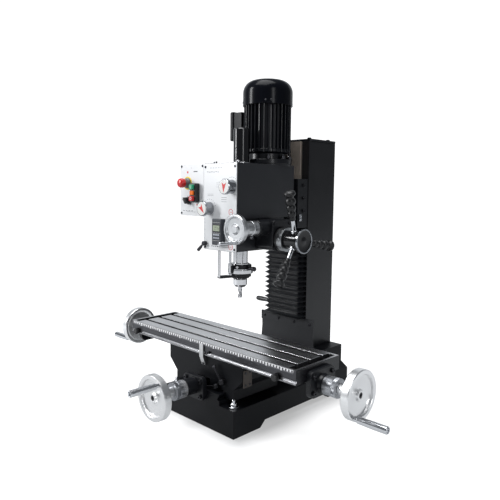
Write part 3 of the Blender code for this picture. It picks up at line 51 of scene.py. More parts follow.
# Shapes are drawn in millimetres about the spindle's axis, and moved to the frame's own origin at the end.
ORIGIN = Vector((-14.0, 24.65, 0.0))
PLANES = {"X": (1, 2, 0), "Y": (0, 2, 1), "Z": (0, 1, 2)}
ROUNDED_FROM = math.radians(40)
WELD = 0.00002


class Value:
    """A shader socket that takes part in sums as a number does."""

    def __init__(self, finish, socket):
        self.finish = finish
        self.socket = socket

    def math(self, operation, *others):
        made = self.finish.node("ShaderNodeMath", [self, *others], operation=operation)
        return Value(self.finish, made.outputs[0])

    __add__ = __radd__ = partialmethod(math, "ADD")
    __sub__ = partialmethod(math, "SUBTRACT")
    __mul__ = __rmul__ = partialmethod(math, "MULTIPLY")
    __truediv__ = partialmethod(math, "DIVIDE")
    __pow__ = partialmethod(math, "POWER")
    __lt__ = partialmethod(math, "LESS_THAN")
    __gt__ = partialmethod(math, "GREATER_THAN")

    def __rsub__(self, other):
        return (self * -1) + other

    def step(self, low, high):
        """0 below low, 1 above high, smooth between."""
        made = self.finish.node("ShaderNodeMapRange", [self, low, high], interpolation_type="SMOOTHSTEP")
        return Value(self.finish, made.outputs[0])


class Finish:
    """A material built round one Principled shader."""

    def __init__(self, name, colour, roughness, metallic=0.0, **more):
        self.material = bpy.data.materials.new(name)
        self.material.use_nodes = True
        self.tree = self.material.node_tree
        self.shader = self.tree.nodes["Principled BSDF"]
        self.object = self.node("ShaderNodeTexCoord").outputs["Object"]
        for key, value in (
            ("Base Color", colour), ("Roughness", roughness), ("Metallic", metallic), *more.items()
        ):
            self.feed(key.replace("_", " "), value)

    def join(self, socket, value):
        """A constant set on a socket, or a varying value linked to it."""
        source = value.socket if isinstance(value, Value) else value
        if isinstance(source, bpy.types.NodeSocket):
            self.tree.links.new(source, socket)
        else:
            socket.default_value = source

    def node(self, kind, inputs=(), **settings):
        made = self.tree.nodes.new(kind)
        for key, value in settings.items():
            setattr(made, key, value)
        for key, value in inputs.items() if isinstance(inputs, dict) else enumerate(inputs):
            self.join(made.inputs[key], value)
        return made

    def feed(self, name, value):
        self.join(self.shader.inputs[name], (*value, 1) if isinstance(value, tuple) else value)

    def axes(self):
        """X, Y and Z in millimetres about the spindle's axis."""
        split = self.node("ShaderNodeSeparateXYZ", [self.object])
        return [Value(self, split.outputs[i]) * 1000 - ORIGIN[i] for i in range(3)]

    def noise(self, scale, detail=3.0, rough=0.5, stretch=None, vector=None):
        where = vector or self.object
        if stretch:
            where = self.node("ShaderNodeVectorMath", [where, stretch], operation="MULTIPLY").outputs[0]
        made = self.node(
            "ShaderNodeTexNoise", {"Vector": where, "Scale": scale, "Detail": detail, "Roughness": rough}
        )
        return Value(self, made.outputs[0])

    def mix(self, factor, first, second):
        """From the first colour at 0 to the second at 1, by index as the node's socket names repeat."""
        colours = [(*c, 1) if isinstance(c, tuple) else c for c in (first, second)]
        made = self.node("ShaderNodeMix", {0: factor, 6: colours[0], 7: colours[1]}, data_type="RGBA")
        return made.outputs[2]

    def bump(self, height, distance=0.0002, strength=0.5):
        made = self.node("ShaderNodeBump", {"Height": height, "Distance": distance, "Strength": strength})
        self.feed("Normal", made.outputs[0])
        return self

    def radial(self, axis, centre):
        """How far a point is from an axis, in millimetres, and its turn about it, from 0 to 1."""
        axes = self.axes()
        a, b, _ = PLANES[axis]
        u, v = axes[a] - centre[0], axes[b] - centre[1]
        distance = (u * u + v * v) ** 0.5
        return distance, v.math("ARCTAN2", u) / math.tau + 0.5


def paint(name, colour, roughness, coat=0.0, peel=0.35, grime=0.12, shine=0.32):
    """Sprayed paint over a filled casting: fine orange peel, slightly uneven gloss and a little dust."""
    made = Finish(name, colour, roughness, Coat_Weight=coat, Coat_Roughness=0.12, Specular_IOR_Level=shine)
    blotch = made.noise(14, 4)
    fine = made.noise(420, 2)
    dust = tuple(min(1, c + 0.012) for c in colour)
    made.feed("Base Color", made.mix(blotch.step(0.4, 0.75) * grime, colour, dust))
    made.feed("Roughness", roughness + (blotch - 0.5) * 0.16 + (fine - 0.5) * 0.06)
    return made.bump(fine + blotch * 0.6, 0.0004, peel)


def flat_faced(shown):
    """Keeps the shading of broad faces flat beside small rounded edges."""
    shown.modifiers.new("flat_faces", "WEIGHTED_NORMAL").keep_sharp = True


def dressed(node, finish, edge=0.8):
    """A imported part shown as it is, with its edges broken and a finish of its own."""
    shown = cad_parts[node]
    shown.data.materials.clear()
    shown.data.materials.append(finish.material)
    shown.modifiers.new("weld", "WELD").merge_threshold = WELD
    if edge:
        bevel = shown.modifiers.new("broken_edges", "BEVEL")
        bevel.width = edge / 1000
        bevel.segments = 2
        bevel.limit_method = "ANGLE"
        bevel.angle_limit = ROUNDED_FROM
        bevel.use_clamp_overlap = True
    shown.data.shade_smooth()
    flat_faced(shown)


CASTING = paint("dark_casting_paint", (0.0036, 0.0040, 0.0054), 0.42, 0.0, 0.35, 0.12, 0.16)
dressed("base", CASTING, 1.6)


def point(axis, first, second, along):
    a, b, c = PLANES[axis]
    place = [0.0, 0.0, 0.0]
    place[a], place[b], place[c] = first, second, along
    return Vector(place)


def eased(points, radius, closed=False, steps=3):
    """The corners of an outline rounded off, each by an arc that never takes more than half a side."""
    made = []
    count = len(points)
    for i, (x, y) in enumerate(points):
        if not closed and i in (0, count - 1):
            made.append((x, y))
            continue
        here = Vector((x, y))
        before = Vector(points[i - 1]) - here
        after = Vector(points[(i + 1) % count]) - here
        if before.length < 1e-6 or after.length < 1e-6 or before.angle(after) > 2.9:
            made.append((x, y))
            continue
        half = before.angle(after) / 2
        reach = min(radius / math.tan(half), before.length * 0.48, after.length * 0.48)
        bend = reach * math.tan(half)
        centre = here + (before.normalized() + after.normalized()).normalized() * (bend / math.sin(half))
        start = here + before.normalized() * reach - centre
        end = here + after.normalized() * reach - centre
        for k in range(steps + 1):
            mixed = start.lerp(end, k / steps)
            made.append(tuple(centre + mixed.normalized() * bend))
    return made


def turned(profile, axis, centre, steps=64, ease=0.0, closed=False):
    """A profile of (along, radius) points revolved about an axis through a centre across it."""
    if ease:
        profile = eased(profile, ease, closed)
    bm = bmesh.new()
    verts = [bm.verts.new(point(axis, centre[0] + r, centre[1], along)) for along, r in profile]
    pairs = list(zip(verts, verts[1:]))
    if closed:
        pairs.append((verts[-1], verts[0]))
    edges = [bm.edges.new(pair) for pair in pairs]
    bmesh.ops.spin(
        bm, geom=verts + edges, cent=point(axis, *centre, 0), axis=point(axis, 0, 0, 1),
        angle=math.tau, steps=steps, use_merge=True, use_duplicate=False,
    )
    bmesh.ops.remove_doubles(bm, verts=bm.verts[:], dist=1e-4)
    bmesh.ops.recalc_face_normals(bm, faces=bm.faces[:])
    return bm


def loft(loops, capped=True):
    """A skin over closed loops of equal count, with the two ends filled."""
    bm = bmesh.new()
    rows = [[bm.verts.new(p) for p in loop] for loop in loops]
    for low, high in zip(rows, rows[1:]):
        for i in range(len(low)):
            j = (i + 1) % len(low)
            bm.faces.new((low[i], low[j], high[j], high[i]))
    if capped:
        bm.faces.new(rows[0])
        bm.faces.new(rows[-1])
    bmesh.ops.remove_doubles(bm, verts=bm.verts[:], dist=1e-4)
    bmesh.ops.recalc_face_normals(bm, faces=bm.faces[:])
    return bm


def joined(*shapes):
    """Several shapes as one."""
    first = shapes[0]
    for other in shapes[1:]:
        copied = {v: first.verts.new(v.co) for v in other.verts}
        for f in other.faces:
            first.faces.new([copied[v] for v in f.verts])
        other.free()
    return first


def shifted(bm, vec):
    bmesh.ops.translate(bm, verts=bm.verts[:], vec=vec)
    return bm


def hexed(radius, count, rows, plain=1.0):
    """A stack of (height, size, corner) loops, each a plain circle at corner 0 and a hexagon at 1."""
    loops = []
    for z, size, corner in rows:
        loop = []
        for i in range(count):
            turn = math.tau * i / count
            flat = math.cos(math.pi / 6) / math.cos((turn % (math.pi / 3)) - math.pi / 6)
            r = radius * size * (flat * corner + plain * (1 - corner))
            loop.append((r * math.cos(turn), r * math.sin(turn), z))
        loops.append(loop)
    return loft(loops)


def hex_head(radius, height):
    """A hexagon head with its corners turned off, on a round washer face."""
    rows = [(0, 0.93, 0), (0.6, 0.93, 0), (0.6, 1, 1), (height - 0.12 * radius, 1, 1), (height, 0.86, 0.35)]
    return hexed(radius, 36, rows, 0.93)


def anchor():
    washer = turned([(0, 5), (0, 14), (2.2, 14), (3.4, 8), (3.4, 5)], "Z", (0, 0), 48, 0.5, True)
    nut = shifted(hex_head(9, 8), (0, 0, 3.2))
    stud = turned([(0, 0), (0, 4.6), (19, 4.6), (21, 3.2), (21, 0)], "Z", (0, 0), 24)
    return joined(washer, nut, stud)


UP = (0, 0, 1)


def aimed(bm, direction, at):
    """A shape drawn along +Z from the origin, turned to point along a direction and moved to a point."""
    turn = Vector(UP).rotation_difference(Vector(direction)).to_matrix()
    bmesh.ops.rotate(bm, verts=bm.verts[:], cent=(0, 0, 0), matrix=turn)
    return shifted(bm, at)


def metal(name, colour, roughness, scratch=(3, 400, 400), depth=0.12, stain=0.25):
    """Ground or drawn metal: scratches that run one way, and faint stains."""
    made = Finish(name, colour, roughness, 1.0)
    lines = made.noise(1.0, 6, 0.7, scratch)
    cloud = made.noise(9, 3)
    dark = tuple(c * 0.72 for c in colour)
    made.feed("Base Color", made.mix(cloud.step(0.35, 0.8) * stain, colour, dark))
    made.feed("Roughness", roughness + (lines - 0.5) * 0.22 + (cloud - 0.5) * 0.12)
    return made.bump(lines, 0.0001, depth)


def placed(name, data):
    made = bpy.data.objects.new(name, data)
    bpy.context.scene.collection.objects.link(made)
    return made


def piece(name, bm, finish, body, *stands_for, flat=32):
    """A finished shape in the frame's metres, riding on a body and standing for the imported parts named."""
    bmesh.ops.recalc_face_normals(bm, faces=bm.faces[:])
    bmesh.ops.translate(bm, verts=bm.verts[:], vec=ORIGIN)
    bmesh.ops.scale(bm, verts=bm.verts[:], vec=(0.001, 0.001, 0.001))
    mesh = bpy.data.meshes.new(name)
    bm.to_mesh(mesh)
    bm.free()
    mesh.materials.append(finish.material)
    mesh.shade_smooth()
    mesh.set_sharp_from_angle(angle=math.radians(flat))
    made = placed(name, mesh)
    flat_faced(made)
    if body:
        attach(made, body)
    if stands_for:
        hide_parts(*stands_for)
    return made


BLACK_OXIDE = metal("black_oxide_steel", (0.05, 0.05, 0.055), 0.38, (80, 80, 80), 0.1)


def fasten(name, body, direction, places, make, *sizes, finish=BLACK_OXIDE):
    """The same fastener at each of several points, facing one way."""
    heads = [aimed(make(*sizes), direction, Vector(place)) for place in places]
    piece(name, joined(*heads), finish, body)


CHROME = metal("chrome_plate", (0.64, 0.65, 0.67), 0.13, (40, 40, 40), 0.02, 0.08)
fasten("anchor_bolts", "base", UP, [(x, -145, 77.1) for x in (-125, 125)], anchor, finish=CHROME)

SHARP = math.radians(30)


def prism(outline, axis, low, high, edge=1.0, segments=2):
    """An outline pushed along an axis, its sharp edges broken as a file or the paint does."""
    bm = bmesh.new()
    face = bm.faces.new([bm.verts.new(point(axis, u, v, low)) for u, v in outline])
    grown = bmesh.ops.extrude_face_region(bm, geom=[face])["geom"]
    moved = [e for e in grown if isinstance(e, bmesh.types.BMVert)]
    bmesh.ops.translate(bm, verts=moved, vec=point(axis, 0, 0, high - low))
    bmesh.ops.recalc_face_normals(bm, faces=bm.faces[:])
    if edge:
        bmesh.ops.bevel(
            bm, geom=[e for e in bm.edges if e.is_manifold and e.calc_face_angle() > SHARP], offset=edge,
            segments=segments, profile=0.5, affect="EDGES", clamp_overlap=True, material=-1,
        )
    return bm


def rounded(x, y, radius, steps=6):
    box = [(x[1], y[1]), (x[0], y[1]), (x[0], y[0]), (x[1], y[0])]
    return eased(box, radius, True, steps)


LONG_AXIS = (0, 116)
BLACK = paint("satin_black_paint", (0.0054, 0.0060, 0.0080), 0.36, 0.08)
bracket = prism(rounded((-42, 42), (79, 145), 12), "Y", -184.8, -169.8, 1.4)
boss = turned([(-183, 7.4), (-183, 24), (-220.8, 24), (-220.8, 7.4)], "Y", LONG_AXIS, 72, 1.2, True)
piece("cross_screw_bracket", joined(bracket, boss), BLACK, "base", "saddle_screw_bracket")


def socket_head(radius, height, dome=0.0):
    """A cap screw's head with a hexagon socket."""
    key, deep, top = 0.45, 0.55, height + dome * 0.7
    rows = [(0, 1, 0), (height - 0.12 * radius, 1, 0), (height, 0.88, 0), (top, key * 1.25, 0)]
    return hexed(radius, 30, rows + [(top, key, 1), (height * (1 - deep), key, 1)])


FRONT = (0, -1, 0)
places = [(x, -184.6, z) for x in (-31, 31) for z in (90, 134)]
fasten("cross_bracket_screws", "base", FRONT, places, socket_head, 6, 6)

# The saddle. It slides on the base's dovetail and carries the table's, a filled black casting with a
# dull felt-wiper plate at its end and a row of gib screws with lock nuts down its side.

dressed("saddle", CASTING, 1.2)


def slab(x, y, z, edge=1.0):
    return prism([(x[0], y[0]), (x[1], y[0]), (x[1], y[1]), (x[0], y[1])], "Z", *z, edge)


wiper = slab((158.3, 161.5), (-143, -112), (138, 186), 0.6)
piece("way_wiper", wiper, metal("oiled_plate", (0.085, 0.075, 0.068), 0.5, (90, 90, 90), 0.2), "saddle")


def cross_head(radius, height):
    """A pan head screw with a cross recess, seen as two crossed slots."""
    dome = turned(
        [(0, 0), (0, radius), (height * 0.45, radius), (height, radius * 0.55), (height, 0)], "Z", (0, 0),
        24, 0.25 * height,
    )
    for a, b in ((0.52, 0.12), (0.12, 0.52)):
        slot = slab((-radius * a, radius * a), (-radius * b, radius * b), (height - 0.02, height + 0.12), 0)
        dome = joined(dome, slot)
    return dome


RIGHT = (1, 0, 0)
places = [(161.4, y, z) for y in (-136, -119) for z in (145, 179)]
fasten("wiper_screws", "saddle", RIGHT, places, cross_head, 3.4, 2)


def gib_screw():
    return joined(hex_head(6, 4.5), shifted(socket_head(3.6, 3.4), (0, 0, 4.2)))


fasten("gib_screws", "saddle", RIGHT, [(156.3, y, 168) for y in (-85, -50, -15)], gib_screw)
dressed("saddle_screw_nut", Finish("bronze", (0.45, 0.25, 0.09), 0.4, 1.0), 0.5)
dressed("table_screw_nut", Finish("cast_bronze", (0.45, 0.25, 0.09), 0.42, 1.0), 0.5)
dressed("scale_pointer", metal("bright_pointer", (0.62, 0.62, 0.62), 0.3, (200, 200, 20), 0.1), 0.5)
fasten("pointer_screws", "saddle", FRONT, [(5, -149.3, z) for z in (173.2, 183.4)], socket_head, 4.4, 3.4)


def spun(bm, degrees, axis, centre):
    bmesh.ops.rotate(
        bm, verts=bm.verts[:], cent=centre, matrix=Matrix.Rotation(math.radians(degrees), 3, axis)
    )
    return bm


def clamp_lever(name, x, z, turn, body, node):
    """A small blackened clamping lever with a ball end, on a stepped boss."""
    boss = [(-145.3, 0), (-145.3, 8), (-156, 8), (-157.5, 6.5), (-160.3, 6.5), (-160.3, 0)]
    rod_y = -156.1
    arm = [(0, 0), (0, 3.2), (40, 2.6), (41, 3.4), (43, 5.2), (46.5, 6.1), (50, 5.2), (52, 3.0), (52.4, 0)]
    arm = spun(turned(arm, "X", (rod_y, z), 24, 0.8), -turn, "Y", (0, rod_y, z))
    both = joined(turned(boss, "Y", (x, z), 40, 0.6), shifted(arm, (x, 0, 0)))
    piece(name, both, BLACK_OXIDE, body, node)


clamp_lever("table_clamp", 86, 139, 128, "table_lock", "table_lock_lever")
clamp_lever("saddle_clamp", 63, 121, 193, "saddle_lock", "saddle_lock_lever")

# The table. A long iron casting with its top ground bright along its length; its ends and the coolant
# troughs keep the dark of the painted iron. The dark of its front and of the insides of the three milled
# T-slots is painted shade.

table_steel = Finish("ground_table", (0.55, 0.55, 0.56), 0.3, 1.0)
grain = table_steel.noise(1.0, 7, 0.72, (3, 620, 620))
cloud = table_steel.noise(5, 4)
x, y, z = table_steel.axes()
# Inside the table below its top the iron is made near black and less metallic: black paint in the coolant
# troughs, painted shade in the three T-slots.
slot_shade_and_trough_black = (y > -154.2) * (y < 24.2) * (z < 236.6) * (z > 214) * (x.math("ABSOLUTE") < 349)
low = (z < 214).math("MULTIPLY", 0.35)
stains_and_painted_shade = table_steel.mix(cloud.step(0.35, 0.8) * 0.35, (0.58, 0.58, 0.59), (0.40, 0.40, 0.415))
# The front face is painted dark, less so below 203.5 mm: painted shade for the dark its metal face reflects.
front = (y < -154.4) * (0.92 - (z < 203.5) * 0.5)
ends = x.math("ABSOLUTE") > 349.3
stains_and_painted_shade = table_steel.mix(low, stains_and_painted_shade, (0.16, 0.16, 0.17))
stains_and_painted_shade = table_steel.mix(front, stains_and_painted_shade, (0.035, 0.035, 0.040))
stains_and_painted_shade = table_steel.mix(ends, stains_and_painted_shade, (0.008, 0.008, 0.010))
table_steel.feed("Base Color", table_steel.mix(slot_shade_and_trough_black, stains_and_painted_shade, (0.02, 0.02, 0.022)))
table_steel.feed("Metallic", (1 - slot_shade_and_trough_black * 0.8) * (1 - ends))
table_steel.feed("Roughness", 0.30 + (grain - 0.5) * 0.28 + (cloud - 0.5) * 0.14 + slot_shade_and_trough_black * 0.15)
table_steel.bump(grain, 0.0001, 0.05)
dressed("table", table_steel, 0.7)

scale = Finish("table_scale", (0.30, 0.30, 0.31), 0.35, 0.9)
x, y, z = scale.axes()
step = (x / 10).math("FRACT")
tall = (x / 50).math("FRACT") < 0.2
mark = ((step < 0.46) * (z > (229.6 - tall * 2.4)) + (z > 235.2)).math("MINIMUM", 1.0)
scale.feed("Base Color", scale.mix(mark, (0.14, 0.14, 0.15), (0.95, 0.95, 0.95)))
scale.feed("Metallic", 0.6 - mark * 0.6)
strip = slab((-341, 341), (-155.25, -154.6), (226.5, 236.2), 0.1)
piece("table_scale_strip", strip, scale, "table")


def stepped(start, side, steps):
    """A profile whose places along the axis are counted from a start towards one side."""
    return [(start + side * along, radius) for along, radius in steps]


CROSS_AXIS = (-65, 187)
for side, name in ((-1, "left"), (1, "right")):
    plate = rounded((-117, -13), (157, 227), 18, 8)
    plate = prism(plate, "X", *sorted((side * 350.3, side * 365.3)), 1.6, 3)
    boss = stepped(0, side, [(363, 7.4), (363, 27), (372, 24), (376.3, 24), (376.3, 7.4)])
    boss = turned(boss, "X", CROSS_AXIS, 72, 1.2, True)
    piece(f"end_bracket_{name}", joined(plate, boss), BLACK, "table", f"table_bracket_{name}")
    places = [(side * 365.2, y, z) for y in (-103, -27) for z in (171, 212)]
    fasten(f"bracket_screws_{name}", "table", (side, 0, 0), places, socket_head, 6, 6)


def rod(radius, axis, centre, low, high, steps=32, ease=0.6):
    return turned([(low, 0), (low, radius), (high, radius), (high, 0)], axis, centre, steps, ease)


def stop_knob(x, reach=13.0, radius=9.0):
    """A black knob with a coarse straight knurl, on a screw that clamps in the table's front groove."""
    stem = rod(3.5, "Y", (x, 207), -155.6, -151.5, 24)
    turns = [math.tau * i / 96 for i in range(96)]
    loops = []
    for along, size in (
        (-155.3, 0.82), (-156.3, 0.98), (-155.3 - reach * 0.8, 1), (-155.3 - reach, 0.84),
        (-155.0 - reach, 0.3),
    ):
        ribs = [radius * size * (1 + 0.035 * math.cos(24 * t)) for t in turns]
        loops.append([(x + r * math.cos(t), along, 207 + r * math.sin(t)) for r, t in zip(ribs, turns)])
    return joined(stem, loft(loops))


def plastic(name, colour, roughness=0.4, grain=0.25):
    made = Finish(name, colour, roughness)
    fine = made.noise(700, 2)
    made.feed("Roughness", roughness + (made.noise(25, 3) - 0.5) * 0.15)
    return made.bump(fine, 0.0002, grain)


DARK_PLASTIC = plastic("black_plastic", (0.008, 0.008, 0.009), 0.38)
piece("travel_stop", stop_knob(288), DARK_PLASTIC, "table_stop", "table_stop")
piece("end_stop", stop_knob(-318, 11), DARK_PLASTIC, "table")
fasten("stop_screw", "table", FRONT, [(34, -155, 212)], socket_head, 4.5, 6)

# The feed screws and handwheels. The wheels are dished aluminium castings, turned and polished all over;
# the dials are plated, with a line for each division; each crank handle is a plated bar that spins.

def handwheel(start, rim, side, axis, centre):
    """A dished wheel: a hub, a coned web, and a broad flat rim that is rounded outside."""
    wheel = [
        (-7, 16), (-6, 24), (-5, 48), (-10.4, 53), (-11, 55), (-11, 61), (-9, 62.8), (9, 62.8), (11, 61.2),
        (11, 51.8), (9.8, 50.6), (3.5, 49.6), (0, 22), (0.6, 15), (5.5, 12.6), (6.8, 12), (6.8, 7.4),
    ]
    return turned([(start, 7.4), (start, 14)] + stepped(rim, side, wheel), axis, centre, 160, 0.7, True)


def crank_handle(start, side, axis, centre):
    """A plated bar on a necked screw, a little thicker towards its end, with a sunk screw head."""
    bar = [
        (0, 0), (0, 6), (10, 6), (10, 8.2), (12, 8.36), (50, 9.5), (86, 9.5), (88, 8.1), (88, 5.89),
        (84, 5.32), (84, 0),
    ]
    return turned(stepped(start, side, bar), axis, centre, 64, 0.7)


def across(degrees, radius, centre=(0, 0)):
    """The point of a circle at an angle."""
    turn = math.radians(degrees)
    return centre[0] + radius * math.cos(turn), centre[1] + radius * math.sin(turn)


def hoops(rows, axis, centre, count, sink=0.0):
    """Loops of (along, radius, knurl) about an axis; a knurled one has every other point sunk."""
    loops = []
    for along, radius, knurl in rows:
        loop = []
        for i in range(count):
            here = across(360 * i / count, radius * (1 - sink * knurl * (i % 2)), centre)
            loop.append(point(axis, *here, along))
        loops.append(loop)
    return loops


def dial(low, high, axis, centre):
    """A plated dial: a plain graduated band, a shallow groove and a finely knurled end."""
    rows = [(0.0, 0.965, 0), (0.02, 0.985, 0), (0.62, 0.985, 0), (0.64, 0.95, 0), (0.68, 0.95, 0)]
    rows += [(0.70, 1, 1), (0.97, 1, 1), (1.0, 0.96, 0), (1.0, 0.296, 0), (0.0, 0.296, 0)]
    rows = [(low + (high - low) * share, 25 * size, knurl) for share, size, knurl in rows]
    loops = hoops(rows, axis, centre, 180, 0.022)
    return loft([*loops, loops[0]], capped=False)


def wheel_nut(start, side, axis, centre):
    nut = [(0, 0), (0, 7.2), (3, 7.2), (3, 3.2), (0.8, 3.0), (0.8, 0)]
    return turned(stepped(start, side, nut), axis, centre, 32, 0.4)


def lathed(name, axis, centre, colour, roughness, depth, marks=0, band=(0, 1), ink=(0.02, 0.02, 0.02)):
    """Metal turned about an axis: fine rings, and graduations round a band along it if there are any."""
    made = Finish(name, colour, roughness, 1.0)
    distance, turn = made.radial(axis, centre)
    along = made.axes()[PLANES[axis][2]]
    where = made.node("ShaderNodeCombineXYZ", [distance, along, 0.0]).outputs[0]
    rings = made.noise(0.4, 3, 0.5, vector=where)
    cloud = made.noise(18, 3)
    made.feed("Roughness", roughness + (rings - 0.5) * 0.18 + (cloud - 0.5) * 0.1)
    if marks:
        low, high = band
        share = (turn * marks).math("FRACT")
        tall = (turn * marks / 5).math("FRACT") < 0.2
        near = (along - low) / (high - low)
        line = (share < 0.22) * (near > 0) * (near < (0.55 + tall * 0.45))
        made.feed("Base Color", made.mix(line, colour, ink))
        made.feed("Metallic", 1 - line)
    return made.bump(rings, 0.0001, depth)


BRIGHT = metal("drawn_steel", (0.56, 0.56, 0.57), 0.24, (60, 60, 60), 0.05)
# The cross wheels' aluminium is set lighter than the long wheel's, a painted highlight for the light they
# catch.
aluminium_painted_lighter_x = lathed("turned_aluminium_cross_painted_lighter", "X", CROSS_AXIS, (0.90, 0.90, 0.90), 0.31, 0.05)
turned_aluminium_y = lathed("turned_aluminium_long", "Y", LONG_AXIS, (0.78, 0.78, 0.78), 0.31, 0.05)
dial_x = lathed("table_dial_steel", "X", CROSS_AXIS, (0.42, 0.43, 0.45), 0.34, 0.05, 80, (377, 399))
dial_y = lathed(
    "saddle_dial_steel", "Y", LONG_AXIS, (0.33, 0.34, 0.36), 0.36, 0.05, 80, (-221.5, -244), (0.8, 0.8, 0.8)
)
shaft = [(-444, 0), (-444, 7), (-352, 7), (-350, 9), (350, 9), (352, 7), (472, 7), (472, 0)]
piece("cross_screw_shaft", turned(shaft, "X", CROSS_AXIS, 40), BRIGHT, "table_screw", "table_screw")
piece("table_dial_ring", dial(376.65, 415.65, "X", CROSS_AXIS), dial_x, "table_screw", "table_dial")
for side, name, start, rim in ((1, "right", 415.95, 469), (-1, "left", -376.65, -441)):
    wheel = handwheel(start, rim, side, "X", CROSS_AXIS)
    piece(f"cross_wheel_{name}", wheel, aluminium_painted_lighter_x, "table_screw", f"table_handwheel_{name}")
    nut = wheel_nut(rim + side * 3.2, side, "X", CROSS_AXIS)
    piece(f"cross_wheel_nut_{name}", nut, BLACK_OXIDE, "table_screw")
    handle = crank_handle(rim + side * 11.3, side, "X", across(235, 56, CROSS_AXIS))
    piece(f"cross_crank_{name}", handle, CHROME, f"table_crank_{name}", f"table_crank_handle_{name}")

shaft = [(-321, 0), (-321, 7), (-171, 7), (-169, 9), (190, 9), (190, 0)]
piece("long_screw_shaft", turned(shaft, "Y", LONG_AXIS, 40), BRIGHT, "saddle_screw", "saddle_screw")
piece("saddle_dial_ring", dial(-221.15, -259.15, "Y", LONG_AXIS), dial_y, "saddle_screw", "saddle_dial")
wheel = handwheel(-259.45, -318, -1, "Y", LONG_AXIS)
piece("long_wheel", wheel, turned_aluminium_y, "saddle_screw", "saddle_handwheel")
piece("long_wheel_nut", wheel_nut(-321.2, -1, "Y", LONG_AXIS), BLACK_OXIDE, "saddle_screw")
handle = crank_handle(-329.3, -1, "Y", across(54, 56, LONG_AXIS))
piece("long_crank", handle, CHROME, "saddle_crank", "saddle_crank_handle")

# The column. A square box casting in satin black, with its dovetail way ground bare down the front and a
# steel cap bolted over its top; the upright screw stands in the slot behind the way.

column_paint = Finish(
    "column_paint", (0.0058, 0.0060, 0.0075), 0.36, Coat_Roughness=0.12, Specular_IOR_Level=0.32
)
fine = column_paint.noise(420, 2)
blotch = column_paint.noise(12, 4)
streak = column_paint.noise(1.0, 6, 0.7, (500, 500, 4))
x, y, z = column_paint.axes()
way = (y < 225.2) * (z < 826) * (x.math("ABSOLUTE") < 75)
bare = column_paint.mix(blotch.step(0.35, 0.75), (0.60, 0.52, 0.45), (0.35, 0.30, 0.255))
dusty = column_paint.mix(blotch.step(0.4, 0.75) * 0.12, (0.0058, 0.0060, 0.0075), (0.018, 0.018, 0.020))
column_paint.feed("Base Color", column_paint.mix(way, dusty, bare))
column_paint.feed("Metallic", way * 0.35)
column_paint.feed(
    "Roughness",
    0.36 + (blotch - 0.5) * 0.16 + (fine - 0.5) * 0.05 - way * 0.06 + (streak - 0.5) * way * 0.2,
)
column_paint.feed("Coat Weight", 0.08 - way * 0.08)
column_paint.bump(fine * (1 - way) + blotch * 0.5, 0.0004, 0.3)
dressed("column", column_paint, 1.2)
dressed("column_cap", BLACK, 1.0)
places = [(x, y, 834.9) for x in (-62, 62) for y in (246, 346)]
fasten("cap_bolts", "base", UP, places, hex_head, 7, 5.5)
thread = [(264, 0), (264, 8)]
for i in range(134):
    low = 266 + 4 * i
    thread += [(low, 7.2), (low + 0.8, 9), (low + 2, 9), (low + 2.8, 7.2)]
screw = turned(thread + [(803, 8), (803, 0)], "Z", (0, 222), 24)
piece("upright_screw", screw, BRIGHT, "column_screw", "column_screw", flat=20)
dressed("column_crank", BLACK)

CRANK_AXIS = (296, 360)
grip = [(0, 0), (0, 6), (6, 6), (6, 6.8), (20, 7.8), (40, 8.5), (54, 8.2), (60, 6.6), (62, 4.5), (62, 0)]
handle = turned(stepped(-112.65, -1, grip), "X", across(246, 86, CRANK_AXIS), 48, 1.2)
piece("column_crank_grip_turned", handle, DARK_PLASTIC, "column_crank_grip", "column_crank_handle")

# The slide and the soft way covers. The slide is a filled casting; the bellows below it is folded from
# rubber-coated cloth, glued to a frame at each end, and the apron is a plain sheet under a clamped band.

dressed("head_slide", BLACK, 1.2)
fasten("slide_gib_screws", "head_slide", RIGHT, [(76, 204, z) for z in (606, 646, 686)], gib_screw)
pins = [rod(3.4, "X", (185, z), 80, 84, 24) for z in (590, 580)]
lock = joined(slab((76.2, 81), (180, 190), (574, 596)), *pins)
piece("slide_lock", lock, CHROME, "head_slide")


def bellows():
    """Pleats that go from sharp ridges to soft valleys round three sides, with puckered corners."""
    bm = bmesh.new()
    low, high, back, folds = 254.0, 551.7, 225.7, 18
    rows = []
    per_fold = 6
    count = folds * per_fold
    for i in range(count + 1):
        z = low + (high - low) * i / count
        phase = (i / per_fold) % 1.0
        swell = 1 - abs(2 * phase - 1) ** 0.85
        grow = -6.5 + 9.3 * swell
        half, front = 76 + grow * 1.25, 195 - grow
        pucker = 2.6 * swell
        sag = 0.5 * math.sin(i * 1.7)
        left = [(-half, back)]
        for k in range(1, 6):
            left.append((-half + 0.25 * math.sin(0.9 * k + i), back + (front + 9 - back) * k / 6))
        corner = [(0.6, front + 7), (2.4 - pucker * 0.3, front + 2.4), (7, front + 0.6)]
        left += [(u - half, y) for u, y in corner]
        middle = []
        for k in range(13):
            drop = sag * math.sin(math.pi * k / 12)
            middle.append((-half + 12 + (2 * half - 24) * k / 12, front + drop))
        line = left + middle + [(-x, y) for x, y in reversed(left)]
        outer = [(x, y, z) for x, y in line]
        inner = [(x * (1 - 2.0 / half), min(y + 2.0, back), z) for x, y in line]
        rows.append([bm.verts.new(p) for p in outer + inner[::-1]])
    for below, over in zip(rows, rows[1:]):
        for i in range(len(below)):
            j = (i + 1) % len(below)
            bm.faces.new((below[i], below[j], over[j], over[i]))
    n = len(rows[0]) // 2
    for row in (rows[0], rows[-1]):
        for i in range(n - 1):
            bm.faces.new((row[i], row[i + 1], row[-i - 2], row[-i - 1]))
    return bm


rubber_cloth = plastic("rubber_coated_cloth", (0.009, 0.010, 0.012), 0.34, 0.5)
pleats = piece("way_bellows_pleated", bellows(), rubber_cloth, None, "way_bellows", flat=50)
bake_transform(pleats)

